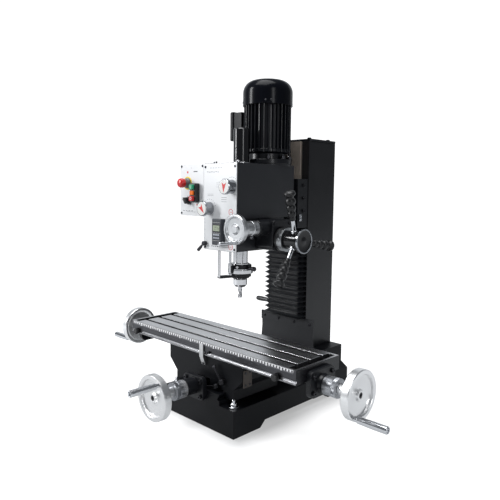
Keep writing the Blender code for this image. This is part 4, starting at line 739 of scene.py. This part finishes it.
RUBBER = plastic("black_rubber", (0.014, 0.015, 0.018), 0.55, 0.5)
dressed("way_apron", RUBBER)
places = [(x, 219.3, 238.5) for x in (-98, -34, 34, 98)]
fasten("apron_screws", "base", FRONT, places, cross_head, 5, 3)

# The head. A gear casting in satin black with crisp machined edges, pinned to the slide so that it can
# tilt. The drawbar's cover is a painted tube on a bright flange, and the worm box stands on the right side.

HEAD_PAINT = paint("head_paint", (0.0160, 0.0172, 0.0205), 0.38, 0.1, 0.35, 0.12, 0.4)
dressed("head_casting", HEAD_PAINT, 1.4)
dressed("control_box", BLACK, 1.2)
places = [(60, -56, 533), (60, -16, 533)]
fasten("quill_clamp_screws", "head", RIGHT, places, socket_head, 6, 4.5, 0.3, finish=CHROME)
places = [(x, -62, 747) for x in (-48, 48)]
fasten("lid_screws", "head", UP, places, socket_head, 7, 7, finish=BRIGHT)


def ring(outer, inner, axis, centre, low, high, steps=64, ease=0.6):
    return turned(
        [(low, inner), (low, outer), (high, outer), (high, inner)], axis, centre, steps, ease, True
    )


tube = turned([(752.1, 16), (752.1, 24), (849, 24), (852, 21), (852, 0)], "Z", (0, 0), 96, 0.8)
piece("drawbar_flange", ring(29, 16, "Z", (0, 0), 747.3, 752, 96, 0.8), BRIGHT, "head")
GLOSS = paint("gloss_black_paint", (0.005, 0.005, 0.006), 0.18, 0.2, 0.08, 0.05)
piece("drawbar_tube", tube, GLOSS, "head", "drawbar_cover")

FEED_AXIS = (36, 529)
FINE_AXIS = (100, 563)
worm_box = prism(rounded((-2, 84), (497, 586), 14, 8), "X", 60.3, 131, 2.2, 3)
boss = turned([(3, 8.9), (3, 23), (-40, 23), (-42, 21), (-42, 8.9)], "Y", FINE_AXIS, 72, 1.0, True)
seat = turned([(129, 9.4), (129, 38), (131, 37.2), (131, 9.4)], "X", FEED_AXIS, 72, 0.5, True)
piece("worm_box", joined(worm_box, boss, seat), BLACK, "head", "feed_housing")
places = [(131, y, z) for y in (9, 73) for z in (507, 575)]
fasten("worm_box_screws", "head", RIGHT, places, socket_head, 4.5, 3)

# The front panel. A sheet of silver-white aluminium with a fine sprayed grain, printed with plain marks
# and screwed to the head; it reaches over the wiring box on the left.

silver = Finish("sprayed_panel", (0.78, 0.79, 0.80), 0.34, 0.0, Coat_Weight=0.25, Coat_Roughness=0.2)
cloud = silver.noise(6, 3)
fine = silver.noise(900, 2)
silver.feed("Base Color", silver.mix(cloud.step(0.3, 0.8) * 0.3, (0.80, 0.81, 0.82), (0.74, 0.75, 0.765)))
silver.feed("Roughness", 0.34 + (fine - 0.5) * 0.1)
silver.bump(fine, 0.0001, 0.15)
outline = [(-181, 590), (-70, 590), (-70, 494), (69, 494), (69, 746), (-181, 746)]
FACE = -86.8
plate = prism(eased(outline, 2.5, True), "Y", FACE, -84.3, 0.5)
piece("panel_sheet", plate, silver, "head", "front_panel")
corners = (62.4, 736), (-62.4, 736), (-76, 740), (-174, 740), (-174, 597), (62.4, 501), (-62.4, 501)
places = [(x, FACE, z) for x, z in corners]
fasten("panel_screws", "head", FRONT, places, cross_head, 3.6, 1.8)


def line(x, z, wide, tall):
    """A printed bar, its ink a tenth of a millimetre thick."""
    return slab((x - wide / 2, x + wide / 2), (FACE - 0.12, FACE + 0.1), (z - tall / 2, z + tall / 2), 0)


def ink_ring(x, z, outer, inner):
    return ring(outer, inner, "Y", (x, z), FACE - 0.12, FACE + 0.1, 48, 0)


dark_ink = [line(-65, z, 7 if i % 5 == 0 else 4, 0.5) for i, z in enumerate(range(512, 585, 4))]
for x, z, marks, first, last in ((50, 679, 7, 40, 140), (-44, 615, 9, 20, 160), (-137, 636, 3, 60, 120)):
    reach = 27 if x > -100 else 16
    for i in range(marks):
        at = across(first + (last - first) * i / (marks - 1), reach, (x, z))
        dark_ink.append(ink_ring(*at, 1.1, 0.3))
for count, x, z, right, down, wide, tall in (
    (2, -40, 657, 0, 4, 26, 0.6), (3, 2, 690, 0, 6, 34, 0.5), (4, -32, 505, 8, 0, 4.5, 3.0),
    (1, 30, 505, 0, 0, 40, 0.8), (1, -70, 668, 0, 0, 0.7, 155), (3, -52, 722, 18, 0, 5.5, 1.6),
    (3, -43, 721.2, 18, 0, 5.5, 1.6), (5, -38, 733, 11, 0, 7, 1.2), (4, -163, 605, 13, 0, 8, 1.4),
    (3, 18, 648, 0, 6, 22, 0.9), (1, -128, 602, 0, 0, 40, 0.6), (1, -108, 724, 0, 0, 18, 3.0),
    (1, -128, 735, 0, 0, 0.6, 5),
):
    dark_ink += [line(x + right * i, z - down * i, wide, tall) for i in range(count)]

GREY_INK = plastic("grey_ink", (0.09, 0.095, 0.11), 0.5, 0.0)
piece("panel_marks", joined(*dark_ink), GREY_INK, "head")

RED_INK = plastic("red_ink", (0.62, 0.02, 0.02), 0.45, 0.0)
red_ink = [
    ink_ring(47, 607, 9, 7.4), ink_ring(47, 508, 9, 7.4), line(47, 607, 9, 1.4), line(47, 508, 9, 1.4),
    ink_ring(-145, 722, 3.6, 0.2), line(-101, 624, 5, 5),
]
piece("panel_red_marks", joined(*red_ink), RED_INK, "head")

# The controls. Moulded switches, plated gear knobs with white printed faces and red arrows, a red mushroom
# on a yellow disc, and the quill's grey depth display with its pale green glass.

YELLOW = plastic("yellow_plastic", (0.85, 0.62, 0.02), 0.35, 0.05)
STOP_AT = (-145, 689)
SELECTOR_AT = (-137, 636)
piece("stop_disc", rod(20, "Y", STOP_AT, -87.9, FACE, 72, 0.3), YELLOW, "head")
collar = [
    (-87.8, 7.8), (-87.8, 16), (-91, 16), (-92, 11.4), (-100.6, 11.4), (-101, 10.6), (-101, 8.8),
    (-99.9, 7.8),
]
collar = turned(collar, "Y", STOP_AT, 64, 0.5, True)
piece("stop_collar", collar, plastic("grey_plastic", (0.12, 0.12, 0.125), 0.4), "head")

RED = plastic("red_plastic", (0.55, 0.012, 0.014), 0.3, 0.08)
cap = [
    (-97, 0), (-97, 7.6), (-104.1, 7.6), (-104.1, 12.8), (-105, 14), (-115, 14), (-118, 12.6),
    (-120, 9.5), (-121, 5), (-121.1, 0),
]
cap = turned(cap, "Y", STOP_AT, 96, 1.0)
piece("stop_mushroom", cap, RED, "emergency_stop", "emergency_stop_button")
housing = prism(rounded((-114, -88), (631, 689), 5, 8), "Y", -105.1, -87.1, 2.0, 3)
piece("switch_boot", housing, DARK_PLASTIC, "head", "switch_housing")

AMBER = plastic("amber_lens", (0.85, 0.17, 0.01), 0.2, 0.02)
lens = prism(rounded((-108.5, -93.5), (653.6, 666.4), 2, 5), "Y", -110.5, -104.6, 1.2, 2)
piece("switch_lens", lens, AMBER, "head")

WHITE_PLASTIC = plastic("white_plastic", (0.75, 0.75, 0.73), 0.35, 0.05)
GREEN = plastic("green_plastic", (0.01, 0.30, 0.14), 0.32, 0.08)
for z, body, finish in ((677, "start_button", GREEN), (643, "stop_button", RED)):
    shape = prism(rounded((-109, -93), (z - 7.5, z + 7.5), 3, 6), "Y", -113.1, -103, 1.6, 3)
    piece(f"{body}_cap", shape, finish, body, body)
    if finish is GREEN:
        mark = slab((-101.6, -100.4), (-113.3, -113), (z - 4, z + 4), 0)
    else:
        mark = ring(4.2, 3.1, "Y", (-101, z), -113.3, -113.0, 40, 0)
    piece(f"{body}_mark", mark, WHITE_PLASTIC, body)
base = turned([(-87.1, 0), (-87.1, 12), (-92, 12), (-95.1, 10.4), (-95.1, 0)], "Y", SELECTOR_AT, 64, 0.8)
bar = prism(rounded((-140.5, -133.5), (625, 647), 3.4, 6), "Y", -109.1, -94.4, 1.4, 3)
bar = spun(bar, -35, "Y", (-137, 0, 636))
piece("selector_knob", joined(base, bar), DARK_PLASTIC, "selector", "selector_switch")
dot = spun(rod(1.2, "Y", (-137, 644), -109.35, -109, 20, 0), -35, "Y", (-137, 0, 636))
piece("selector_mark", dot, WHITE_PLASTIC, "selector")
KNOB_METAL = metal("knob_plate", (0.34, 0.35, 0.37), 0.16, (40, 40, 40), 0.02, 0.08)


def speed_knob(name, x, z, turn):
    """A plated knob with a knurled skirt, a plain band and a white face that carries a red arrow."""
    rows = [
        (-87.1, 19.4, 0), (-88, 20, 0), (-107.5, 19, 0), (-108.4, 21.6, 0), (-109.4, 22, 1),
        (-116.6, 22, 1), (-118.1, 20.8, 0), (-118.1, 0.5, 0),
    ]
    piece(f"{name}_body", loft(hoops(rows, "Y", (x, z), 160, 0.02)), KNOB_METAL, name, name)
    face = turned([(-118.0, 0), (-118.0, 19.6), (-118.35, 19.2), (-118.35, 0)], "Y", (x, z), 72)
    piece(f"{name}_face", face, WHITE_PLASTIC, name)
    arrow = [(0, 17), (8.5, -11), (0, -5.5), (-8.5, -11)]
    shape = prism([(x + u, z + v) for u, v in arrow], "Y", -118.6, -118.3, 0)
    piece(f"{name}_arrow", spun(shape, turn, "Y", (x, 0, z)), RED_INK, name)


speed_knob("speed_knob_upper", 50, 679, 184)
speed_knob("speed_knob_lower", -44, 615, 141)
case = prism(rounded((-13, 25), (511, 587), 3, 6), "Y", -105.1, -87.1, 1.4, 3)
piece("display_case", case, plastic("slate_plastic", (0.028, 0.033, 0.042), 0.36), "head", "depth_display")
bezel = prism(rounded((-10.4, 22.4), (549, 571), 2, 5), "Y", -105.6, -105.0, 0.3)
piece("display_bezel", bezel, DARK_PLASTIC, "head")
glass = prism(rounded((-7.6, 19.6), (552, 568), 1, 4), "Y", -105.9, -105.5, 0.1)
piece("display_glass", glass, Finish("display_green", (0.40, 0.45, 0.34), 0.12), "head")
bars = []
for i, lit in enumerate(((0, 1, 2, 3), (0, 2, 3, 4, 5), (0, 1, 2, 3, 4, 5), (0, 1, 4, 5))):
    u = -3 + i * 5.6
    strokes = (
        (u + 1.6, 556.2, 2.6, 0.7), (u + 3.1, 558.3, 0.7, 3.4), (u + 3.1, 562.2, 0.7, 3.4),
        (u + 1.6, 564.3, 2.6, 0.7), (u + 0.1, 562.2, 0.7, 3.4), (u + 1.6, 560.2, 2.6, 0.7),
    )
    for x, z, wide, tall in (strokes[k] for k in lit):
        bars.append(slab((x - wide / 2, x + wide / 2), (-105.98, -105.8), (z - tall / 2, z + tall / 2), 0))

INK = plastic("black_ink", (0.015, 0.015, 0.017), 0.5, 0.0)
piece("display_digits", joined(*bars), INK, "head")
keys = [rounded((u - 3.4, u + 3.4), (v - 2.2, v + 2.2), 1.2, 4) for u in (-3, 6, 15) for v in (541, 532)]
keys = joined(*[prism(key, "Y", -106.2, -104.8, 0.4) for key in keys])
piece("display_keys", keys, plastic("pale_keys", (0.42, 0.45, 0.5), 0.4), "head")
rules = joined(*[slab((-10, 22), (-105.3, -105.0), (z, z + 0.5), 0) for z in (524, 545.5, 576)])
piece("display_lines", rules, WHITE_PLASTIC, "head")
hub = turned([(-87.1, 0), (-87.1, 7), (-97, 7), (-99.1, 5.4), (-99.1, 0)], "Y", (-60, 511), 48, 0.8)
arm = [(0, 0), (0, 3.4), (14, 2.9), (15, 4.4), (33, 4.9), (34, 4), (34.4, 0)]
arm = spun(turned(arm, "X", (-95.1, 511), 32, 0.8), -222, "Y", (0, -95.1, 511))
handle = joined(hub, shifted(arm, (-60, 0, 0)))
piece("quill_lock_handle", handle, BLACK_OXIDE, "quill_lock", "quill_lock_lever")

# The quill feed. A plated dial, a black hub with three plated rods and ribbed black grips, and a black
# clutch cap with a bright rim; the small aluminium wheel in front drives the worm for fine feed.

piece("feed_dial_seat", ring(35, 10, "X", FEED_AXIS, 131.4, 140, 96, 1.0), DARK_PLASTIC, "feed_shaft")
dial_feed = lathed("feed_dial_steel", "X", FEED_AXIS, (0.34, 0.35, 0.36), 0.3, 0.06, 60, (140.2, 150))
band = [(140, 9.4), (140, 34), (150, 34), (151, 35), (156.5, 35), (158, 33.6), (158, 9.4)]
band = turned(band, "X", FEED_AXIS, 120, 0.5, True)
piece("feed_dial_ring", band, dial_feed, "feed_shaft", "feed_dial")
hub = [(158.7, 9.4), (158.7, 24), (161, 27), (201, 27), (204.6, 24), (204.6, 9.4)]
hub = turned(hub, "X", FEED_AXIS, 96, 1.4, True)
piece("feed_hub_turned", hub, GLOSS, "feed_shaft", "feed_hub")
rod_sides = [(20, 0), (20, 8.6), (31, 8.6), (32, 6), (68, 6), (68, 0)]
grip_sides = [(63.5, 0), (63.5, 7.6), (65, 8.6), (73, 8.4)]
for low, high, waist, swell in ((74, 91, 8.6, 11.6), (91, 110, 9.0, 13.0), (110, 130, 9.6, 14.4)):
    for k in range(9):
        bulge = (swell - waist) * math.sin(math.pi * k / 8) ** 0.6
        grip_sides.append((low + (high - low) * k / 8, waist + bulge))
grip_sides += [
    (131, 9.8), (135, 10.4), (138, 13.2), (140.4, 15.9), (144, 16.4), (147.5, 15.6), (150.4, 12),
    (151.7, 6), (152, 0),
]


def three_of(make):
    """One of the hub's levers, leaned out a little and set round the hub three times."""
    levers = []
    for degrees in (111, 231, 351):
        made = spun(make(), 8, "Y", (0, 0, 0))
        levers.append(shifted(spun(made, degrees - 90, "X", (0, 0, 0)), (181.65, *FEED_AXIS)))
    return joined(*levers)


rods = three_of(lambda: turned(rod_sides, "Z", (0, 0), 40, 0.6))
piece("feed_rods", rods, CHROME, "feed_shaft")
grip_finish = Finish("moulded_grip", (0.009, 0.009, 0.010), 0.4, Specular_IOR_Level=0.4)
grip_finish.feed("Roughness", 0.38 + (grip_finish.noise(30, 3) - 0.5) * 0.14)
grip_finish.bump(grip_finish.noise(500, 2), 0.0002, 0.12)
grips = three_of(lambda: turned(grip_sides, "Z", (0, 0)))
piece("feed_grips", grips, grip_finish, "feed_shaft", flat=60)
rim = ring(35, 31.2, "X", FEED_AXIS, 211.5, 216.95, 120, 0.9)
piece("clutch_rim", rim, KNOB_METAL, "feed_shaft", "clutch_cap")
face = [
    (204.95, 9), (204.95, 30), (207, 34), (212, 34), (212, 31.3), (215.6, 31.2), (214.2, 27), (213.4, 14),
    (214.6, 7), (214.6, 0),
]
piece("clutch_face", turned(face, "X", FEED_AXIS, 96, 0.8), GLOSS, "feed_shaft")
shaft = [
    (-8, 0), (-8, 13), (20, 13), (20, 9), (94, 9), (94, 24), (106, 24), (106, 9), (204, 9), (204, 0)
]
piece("pinion_shaft", turned(shaft, "X", FEED_AXIS, 48, 0.4), BRIGHT, "feed_shaft", "feed_pinion_shaft")

fine_metal = lathed("fine_feed_aluminium", "Y", FINE_AXIS, (0.56, 0.57, 0.58), 0.3, 0.05)
fine_dial = lathed("fine_feed_sleeve", "Y", FINE_AXIS, (0.66, 0.67, 0.68), 0.3, 0.04, 40, (-60, -50))
sleeve = [
    (-109.6, 0), (-109.6, 16), (-98, 18), (-97, 20.2), (-90, 21), (-66, 21), (-65, 19.8),
    (-63.5, 19.8), (-62.5, 21), (-43.5, 21), (-42.4, 20), (-42.4, 8.5), (75, 8.5), (75, 0),
]
sleeve = turned(sleeve, "Y", FINE_AXIS, 96, 0.4)
piece("fine_sleeve", sleeve, fine_dial, "fine_feed", "fine_feed_worm")
wheel = [
    (-110, 0), (-110, 38), (-113, 42), (-123.5, 42), (-126, 39.5), (-126, 35.5), (-124, 33),
    (-119.8, 30), (-119.3, 15), (-122.6, 11.5), (-125, 10), (-125, 0),
]
wheel = turned(wheel, "Y", FINE_AXIS, 120, 0.9)
piece("fine_wheel", wheel, fine_metal, "fine_feed", "fine_feed_handwheel")
handle = [(-126.3, 0), (-126.3, 4), (-130, 4), (-131, 4.6), (-160, 5), (-189, 5), (-191, 4), (-191.3, 0)]
handle = turned(handle, "Y", across(286, 37, FINE_AXIS), 48, 0.5)
piece("fine_crank", handle, CHROME, "fine_feed_grip", "fine_feed_handle")

# The quill, its clamped collar and the spindle. The quill is ground and polished; the collar is a split
# black ring held by screws, with the depth stop's rod and graduated bar; the cutter has four flutes.

quill_steel = lathed("ground_quill", "Z", (0, 0), (0.64, 0.64, 0.65), 0.14, 0.06)
tube = [(430.4, 14.4), (430.4, 21.4), (431.2, 22), (639, 22), (640, 21), (640, 14.4)]
piece("quill_tube", turned(tube, "Z", (0, 0), 96, 0.3, True), quill_steel, "quill", "quill")
collar = [
    (405, 14.4), (405, 26), (406.5, 28), (409, 28), (410, 33), (418, 33), (419, 30), (436, 30),
    (437, 34), (445, 34), (447, 32), (447, 22.4), (429.7, 22.4), (429.7, 14.4),
]
arm = prism([(-9, -26), (-19, -77.2), (-5, -77.2), (9, -26)], "Z", 409, 417, 1.2)
lug = slab((-8, 8), (-44, -28), (424, 446), 1.6)
collar = joined(turned(collar, "Z", (0, 0), 96, 0.5, True), arm, lug)
piece("quill_collar_ring", collar, BLACK, "quill", "quill_collar")
piece("depth_rod", rod(4, "Z", (0, -43), 413, 540), quill_steel, "quill")
stub = [(28, 0), (28, 6), (40, 6), (41, 5), (50, 5), (51, 7), (60, 7), (62, 5.6), (62, 0)]
piece("collar_screw", turned(stub, "X", (0, 437), 40, 0.7), BLACK_OXIDE, "quill")


def outward(bm, degrees, radius, centre, z):
    """A fastener on a round wall, facing away from the wall's axis."""
    return aimed(bm, (*across(degrees, radius), 0), Vector((*across(degrees, radius, centre), z)))


heads = [outward(socket_head(4, 4), degrees, 33.28, (0, 0), 441) for degrees in (-60, -120, 150)]
nuts = [aimed(hex_head(7, 6), UP, Vector((0, -43, z))) for z in (446, 417.2)]
piece("collar_fasteners", joined(*heads, *nuts), BRIGHT, "quill")
upper = [(447, 22.2), (447, 27), (450, 27), (451, 26), (451, 22.2)]
lower = [(420, 29), (420, 37), (421, 38), (431, 38), (432, 36.5), (435, 36.5), (435, 29)]
band = joined(turned(upper, "Z", (0, 0), 72, 0.3, True), turned(lower, "Z", (0, 0), 120, 0.5, True))
piece("collar_band", band, quill_steel, "quill")
rule = Finish("depth_rule", (0.58, 0.58, 0.59), 0.28, 1.0)
x, y, z = rule.axes()
mark = ((z / 2).math("FRACT") < 0.25) * (x < (-12.5 + ((z / 10).math("FRACT") < 0.12) * 4)) * (y < -77.2)
rule.feed("Base Color", rule.mix(mark, (0.58, 0.58, 0.59), (0.03, 0.03, 0.03)))
rule.feed("Metallic", 1 - mark)
piece("depth_bar", slab((-17, -7), (-77.5, -74.5), (412, 540), 0.5), rule, "quill")
nose = [
    (378, 6.8), (378, 15.4), (379, 16), (385, 21), (401, 21), (402, 20), (402, 14), (708, 14), (708, 0),
    (400.3, 0), (400.3, 6.8),
]
piece("spindle_turned", turned(nose, "Z", (0, 0), 80, 0.4, True), quill_steel, "spindle", "spindle")


def end_mill(radius=6.5, low=343.5, flute=27.0):
    """Four helical flutes that run out into a plain shank."""
    loops = []
    for i in range(41):
        share = i / 40
        depth = 1.0 if share < 0.8 else 1 - ((share - 0.8) / 0.2) ** 2
        size = 0.9 if i == 0 else 1.0
        loop = []
        for k in range(96):
            wave = (k / 24 + share * 1.35) % 1.0
            cut = 0.42 * depth * (math.sin(math.pi * min(1, wave / 0.72)) ** 1.3 if wave < 0.72 else 0)
            loop.append((*across(360 * k / 96, radius * size * (1 - cut)), low + flute * share))
        loops.append(loop)
    shank = [(low + flute + 0.5, radius, 0), (399.9, radius, 0)]
    return loft(loops + hoops(shank, "Z", (0, 0), 96))


piece("end_mill_cutter", end_mill(), BRIGHT, "spindle", "end_mill")
dressed("spindle_gear", BRIGHT, 0.0)

# The motor. A cast aluminium body with deep straight fins, painted black, on a round flange held by
# blackened nuts; a pressed steel cowl with a gloss finish covers the fan, and a box on the side the wiring.

motor_paint = paint("motor_paint", (0.0035, 0.0042, 0.0065), 0.3, 0.1, 0.12, 0.06)

MOTOR_AXIS = (0, 113)


def fins(count=32, root=63.5, tip=73.4, low=786.0, high=931.9):
    """Thin fins with rounded tips and roots all round a barrel."""
    outline = []
    for i in range(count):
        turn = 360 * i / count
        step = 360 / count
        for share, radius in (
            (0.0, tip), (0.09, tip - 0.5), (0.14, tip - 1.6), (0.2, root + 1.6), (0.28, root),
            (0.72, root), (0.8, root + 1.6), (0.86, tip - 1.6), (0.91, tip - 0.5),
        ):
            outline.append(across(turn + share * step, radius, MOTOR_AXIS))
    return prism(outline, "Z", low, high, 0)


foot = [
    (750, 12), (750, 77), (751, 78), (763, 78), (764, 77), (764, 60.5), (781, 60.5), (787, 70.5),
    (795, 70.5), (797, 66), (797, 12),
]
body = joined(
    fins(), turned(foot, "Z", MOTOR_AXIS, 96, 1.2, True),
    turned([(795, 60), (795, 64.2), (931.9, 64.2), (931.9, 10)], "Z", MOTOR_AXIS, 96),
)
piece("motor_barrel", body, motor_paint, "head", "motor_body")


def flange_nut():
    stud, washer = rod(4.2, "Z", (0, 0), 0, 6, 24), ring(10, 4.4, "Z", (0, 0), -1.4, 0.2, 40, 0.3)
    return joined(hex_head(8, 8), shifted(stud, (0, 0, 7.5)), washer)


places = [(*across(degrees, 70, MOTOR_AXIS), 765.4) for degrees in (-45, -135, 45, 135, -5)]
fasten("flange_nuts", "head", UP, places, flange_nut)
cowl_paint = Finish("cowl_enamel", (0.003, 0.0036, 0.006), 0.2, Specular_IOR_Level=0.11)
wave = cowl_paint.noise(7, 2)
distance, turn = cowl_paint.radial("Z", MOTOR_AXIS)
up = cowl_paint.axes()[2]
# The fan's air holes are not cut: on the cowl's top a grille is painted darker and dull, painted shade for
# the openings.
painted_grille_shade = ((distance / 7).math("FRACT") < 0.5) * ((turn * 12).math("FRACT") < 0.86)
painted_grille_shade = painted_grille_shade * (distance < 35) * (up > 1003)
cowl_paint.feed("Roughness", 0.2 + (wave - 0.5) * 0.08 + painted_grille_shade * 0.6)
cowl_paint.feed("Base Color", cowl_paint.mix(painted_grille_shade, (0.003, 0.0036, 0.006), (0.001, 0.001, 0.001)))
cowl_paint.bump(wave, 0.002, 0.2)
cowl = [(928, 73.8), (928, 76.4), (928.8, 77), (966, 77)]
arc = [across(90 * k / 16, 1) for k in range(17)]
cowl += [(968 + 38 * v, 39 + 38 * u) for u, v in arc[1:]]
cowl += [(1006.8, 24), (1007.6, 8), (1007.8, 0), (1005, 0)]
cowl += [(968 + 35.5 * v, 39 + 35.5 * u) for u, v in reversed(arc)]
cowl += [(935, 74.4), (932.4, 73.8)]
piece("fan_cowl", turned(cowl, "Z", MOTOR_AXIS, 144), cowl_paint, "head", "motor_fan_cover", flat=40)
turns = (-40, -52, 50, 140, 230)
heads = [outward(cross_head(3, 1.6), turn, 76.769, MOTOR_AXIS, 938) for turn in turns]
piece("cowl_screws", joined(*heads), BLACK_OXIDE, "head")
bead = [(928.6, 76.6), (928.6, 77.4), (930.8, 77.4), (931.2, 76.6)]
piece("cowl_bead", turned(bead, "Z", MOTOR_AXIS, 144, 0.3, True), cowl_paint, "head")
tray = slab((-110, -73.8), (72, 154), (832, 915), 2.0)
lid = prism(rounded((68, 158), (826, 918), 5, 6), "X", -122, -108.4, 3.0, 4)
piece("wiring_box", joined(tray, lid), CASTING, "head", "motor_terminal_box")

LEFT = (-1, 0, 0)
places = [(-121.6, y, z) for y in (75, 151) for z in (833, 911)]
fasten("wiring_box_screws", "head", LEFT, places, cross_head, 3.6, 1.4)
gland = [(832.5, 0), (832.5, 9), (826, 9), (824, 11), (816, 11), (814, 8), (809, 7), (809, 0)]
piece("cable_gland", turned(gland, "Z", (-94, MOTOR_AXIS[1]), 40, 0.6), DARK_PLASTIC, "head")
dressed("motor_rotor", BRIGHT, 0.0)

# The floor, the lamps and the camera. A sweep that shows white to the camera, as the world does past
# its edges, and keeps the machine's shadow, with a contact shadow painted round the base; and three
# large soft lamps as in a studio.

AZIMUTH, HEIGHT, ROLL = 44.14, 5.19, -0.66


def sweep():
    """A floor that curves up into a wall behind the machine."""
    bm = bmesh.new()
    path = [(-6000, -0.3), (3800, -0.3)]
    for degrees in range(6, 91, 6):
        u, v = across(degrees, 900)
        path.append((3800 + v, 900 - u - 0.3))
    path.append((4700, 5200))
    side = Vector((*across(AZIMUTH, 1), 0))
    away = Vector((-side.y, side.x, 0))
    rows = []
    for along, up in path:
        here = away * along + Vector((0, 0, up))
        rows.append([bm.verts.new((here + side * wide) / 1000) for wide in (-7000, 7000)])
    for low, high in zip(rows, rows[1:]):
        bm.faces.new((low[0], low[1], high[1], high[0]))
    mesh = bpy.data.meshes.new("studio_sweep")
    bm.to_mesh(mesh)
    bm.free()
    mesh.shade_smooth()
    return placed("studio_sweep", mesh)


paper = Finish("studio_paper", (0.40, 0.40, 0.40), 0.9)
light_path = paper.node("ShaderNodeLightPath")
seen = Value(paper, light_path.outputs["Is Camera Ray"])
glossy = Value(paper, light_path.outputs["Is Glossy Ray"])
x, y, z = paper.axes()
# A contact shadow is painted into the floor's glow: to the camera it falls to 0.3 within about 9 cm of the
# base's outline, and to the camera and in reflections the glow is weaker within 1.5 m of the machine,
# painted shade.
past_side = (x.math("ABSOLUTE") - 165).math("MAXIMUM", 0)
past_end = ((y - 90).math("ABSOLUTE") - 255).math("MAXIMUM", 0)
beside = (past_side ** 2 + past_end ** 2) ** 0.5
near = (beside / 1000).step(-0.03, 0.088)
far = (((x * x + y * y) ** 0.5) / 1000).step(0.55, 1.5)
white = paper.mix(near, (0.30, 0.30, 0.30), paper.mix(far, (0.90, 0.90, 0.90), (1.0, 1.0, 1.0)))
mirrored = paper.mix(far, (0.27, 0.285, 0.30), (0.56, 0.585, 0.61))
shown = seen.math("MAXIMUM", glossy)
paper.feed("Emission Color", paper.mix(shown, (0.0, 0.0, 0.0), paper.mix(seen, mirrored, white)))
paper.feed("Emission Strength", 1.0)
paper.feed("Roughness", 0.9 + paper.noise(8, 2) * 0.05)
floor = sweep()
floor.data.materials.append(paper.material)


def lamp(name, where, at, size, power, tall=None):
    light = bpy.data.lights.new(name, "AREA")
    light.shape = "RECTANGLE"
    light.size = size
    light.size_y = tall or size
    light.energy = power
    light.color = (0.975, 0.985, 1.0)
    made = placed(name, light)
    made.location = where
    made.rotation_euler = (Vector(at) - Vector(where)).to_track_quat("-Z", "Y").to_euler()


lamp("key_from_left", (-1.9, -2.1, 1.6), (0, 0, 0.5), 0.5, 66, 1.6)
lamp("fill_from_right", (2.7, -1.0, 1.5), (0, 0, 0.5), 0.5, 14, 1.4)
lamp("top_soft", (0.0, -0.4, 2.9), (0, 0, 0.3), 1.8, 60)
world = bpy.data.worlds.new("studio")
world.use_nodes = True
around, links = world.node_tree.nodes, world.node_tree.links
sky = around.new("ShaderNodeMix")
sky.data_type = "RGBA"
sky.inputs[6].default_value = (0.176, 0.186, 0.20, 1)
sky.inputs[7].default_value = (1.0, 1.0, 1.0, 1)
past_paper = around.new("ShaderNodeLightPath")
links.new(past_paper.outputs["Is Camera Ray"], sky.inputs[0])
links.new(sky.outputs[2], around["Background"].inputs["Color"])
bpy.context.scene.world = world

level, lift = across(HEIGHT, 1)
right = Vector((*across(AZIMUTH, 1), 0))
back = Vector((right.y * level, -right.x * level, lift))
up = back.cross(right)
u, v = across(ROLL, 1)
right, up = u * right - v * up, v * right + u * up
camera = bpy.data.cameras.new("camera")
camera.sensor_width = 36
camera.lens = 38.56
camera.shift_y = -0.02242
camera.clip_end = 50
seat = placed("camera", camera)
turn = Matrix((right, up, back)).transposed().to_4x4()
eye = Vector((1.14274, -1.13687, 0.66994))
seat.matrix_world = Matrix.Translation(eye + ORIGIN / 1000) @ turn
bpy.context.scene.camera = seat
bpy.context.scene.view_settings.view_transform = "Standard"
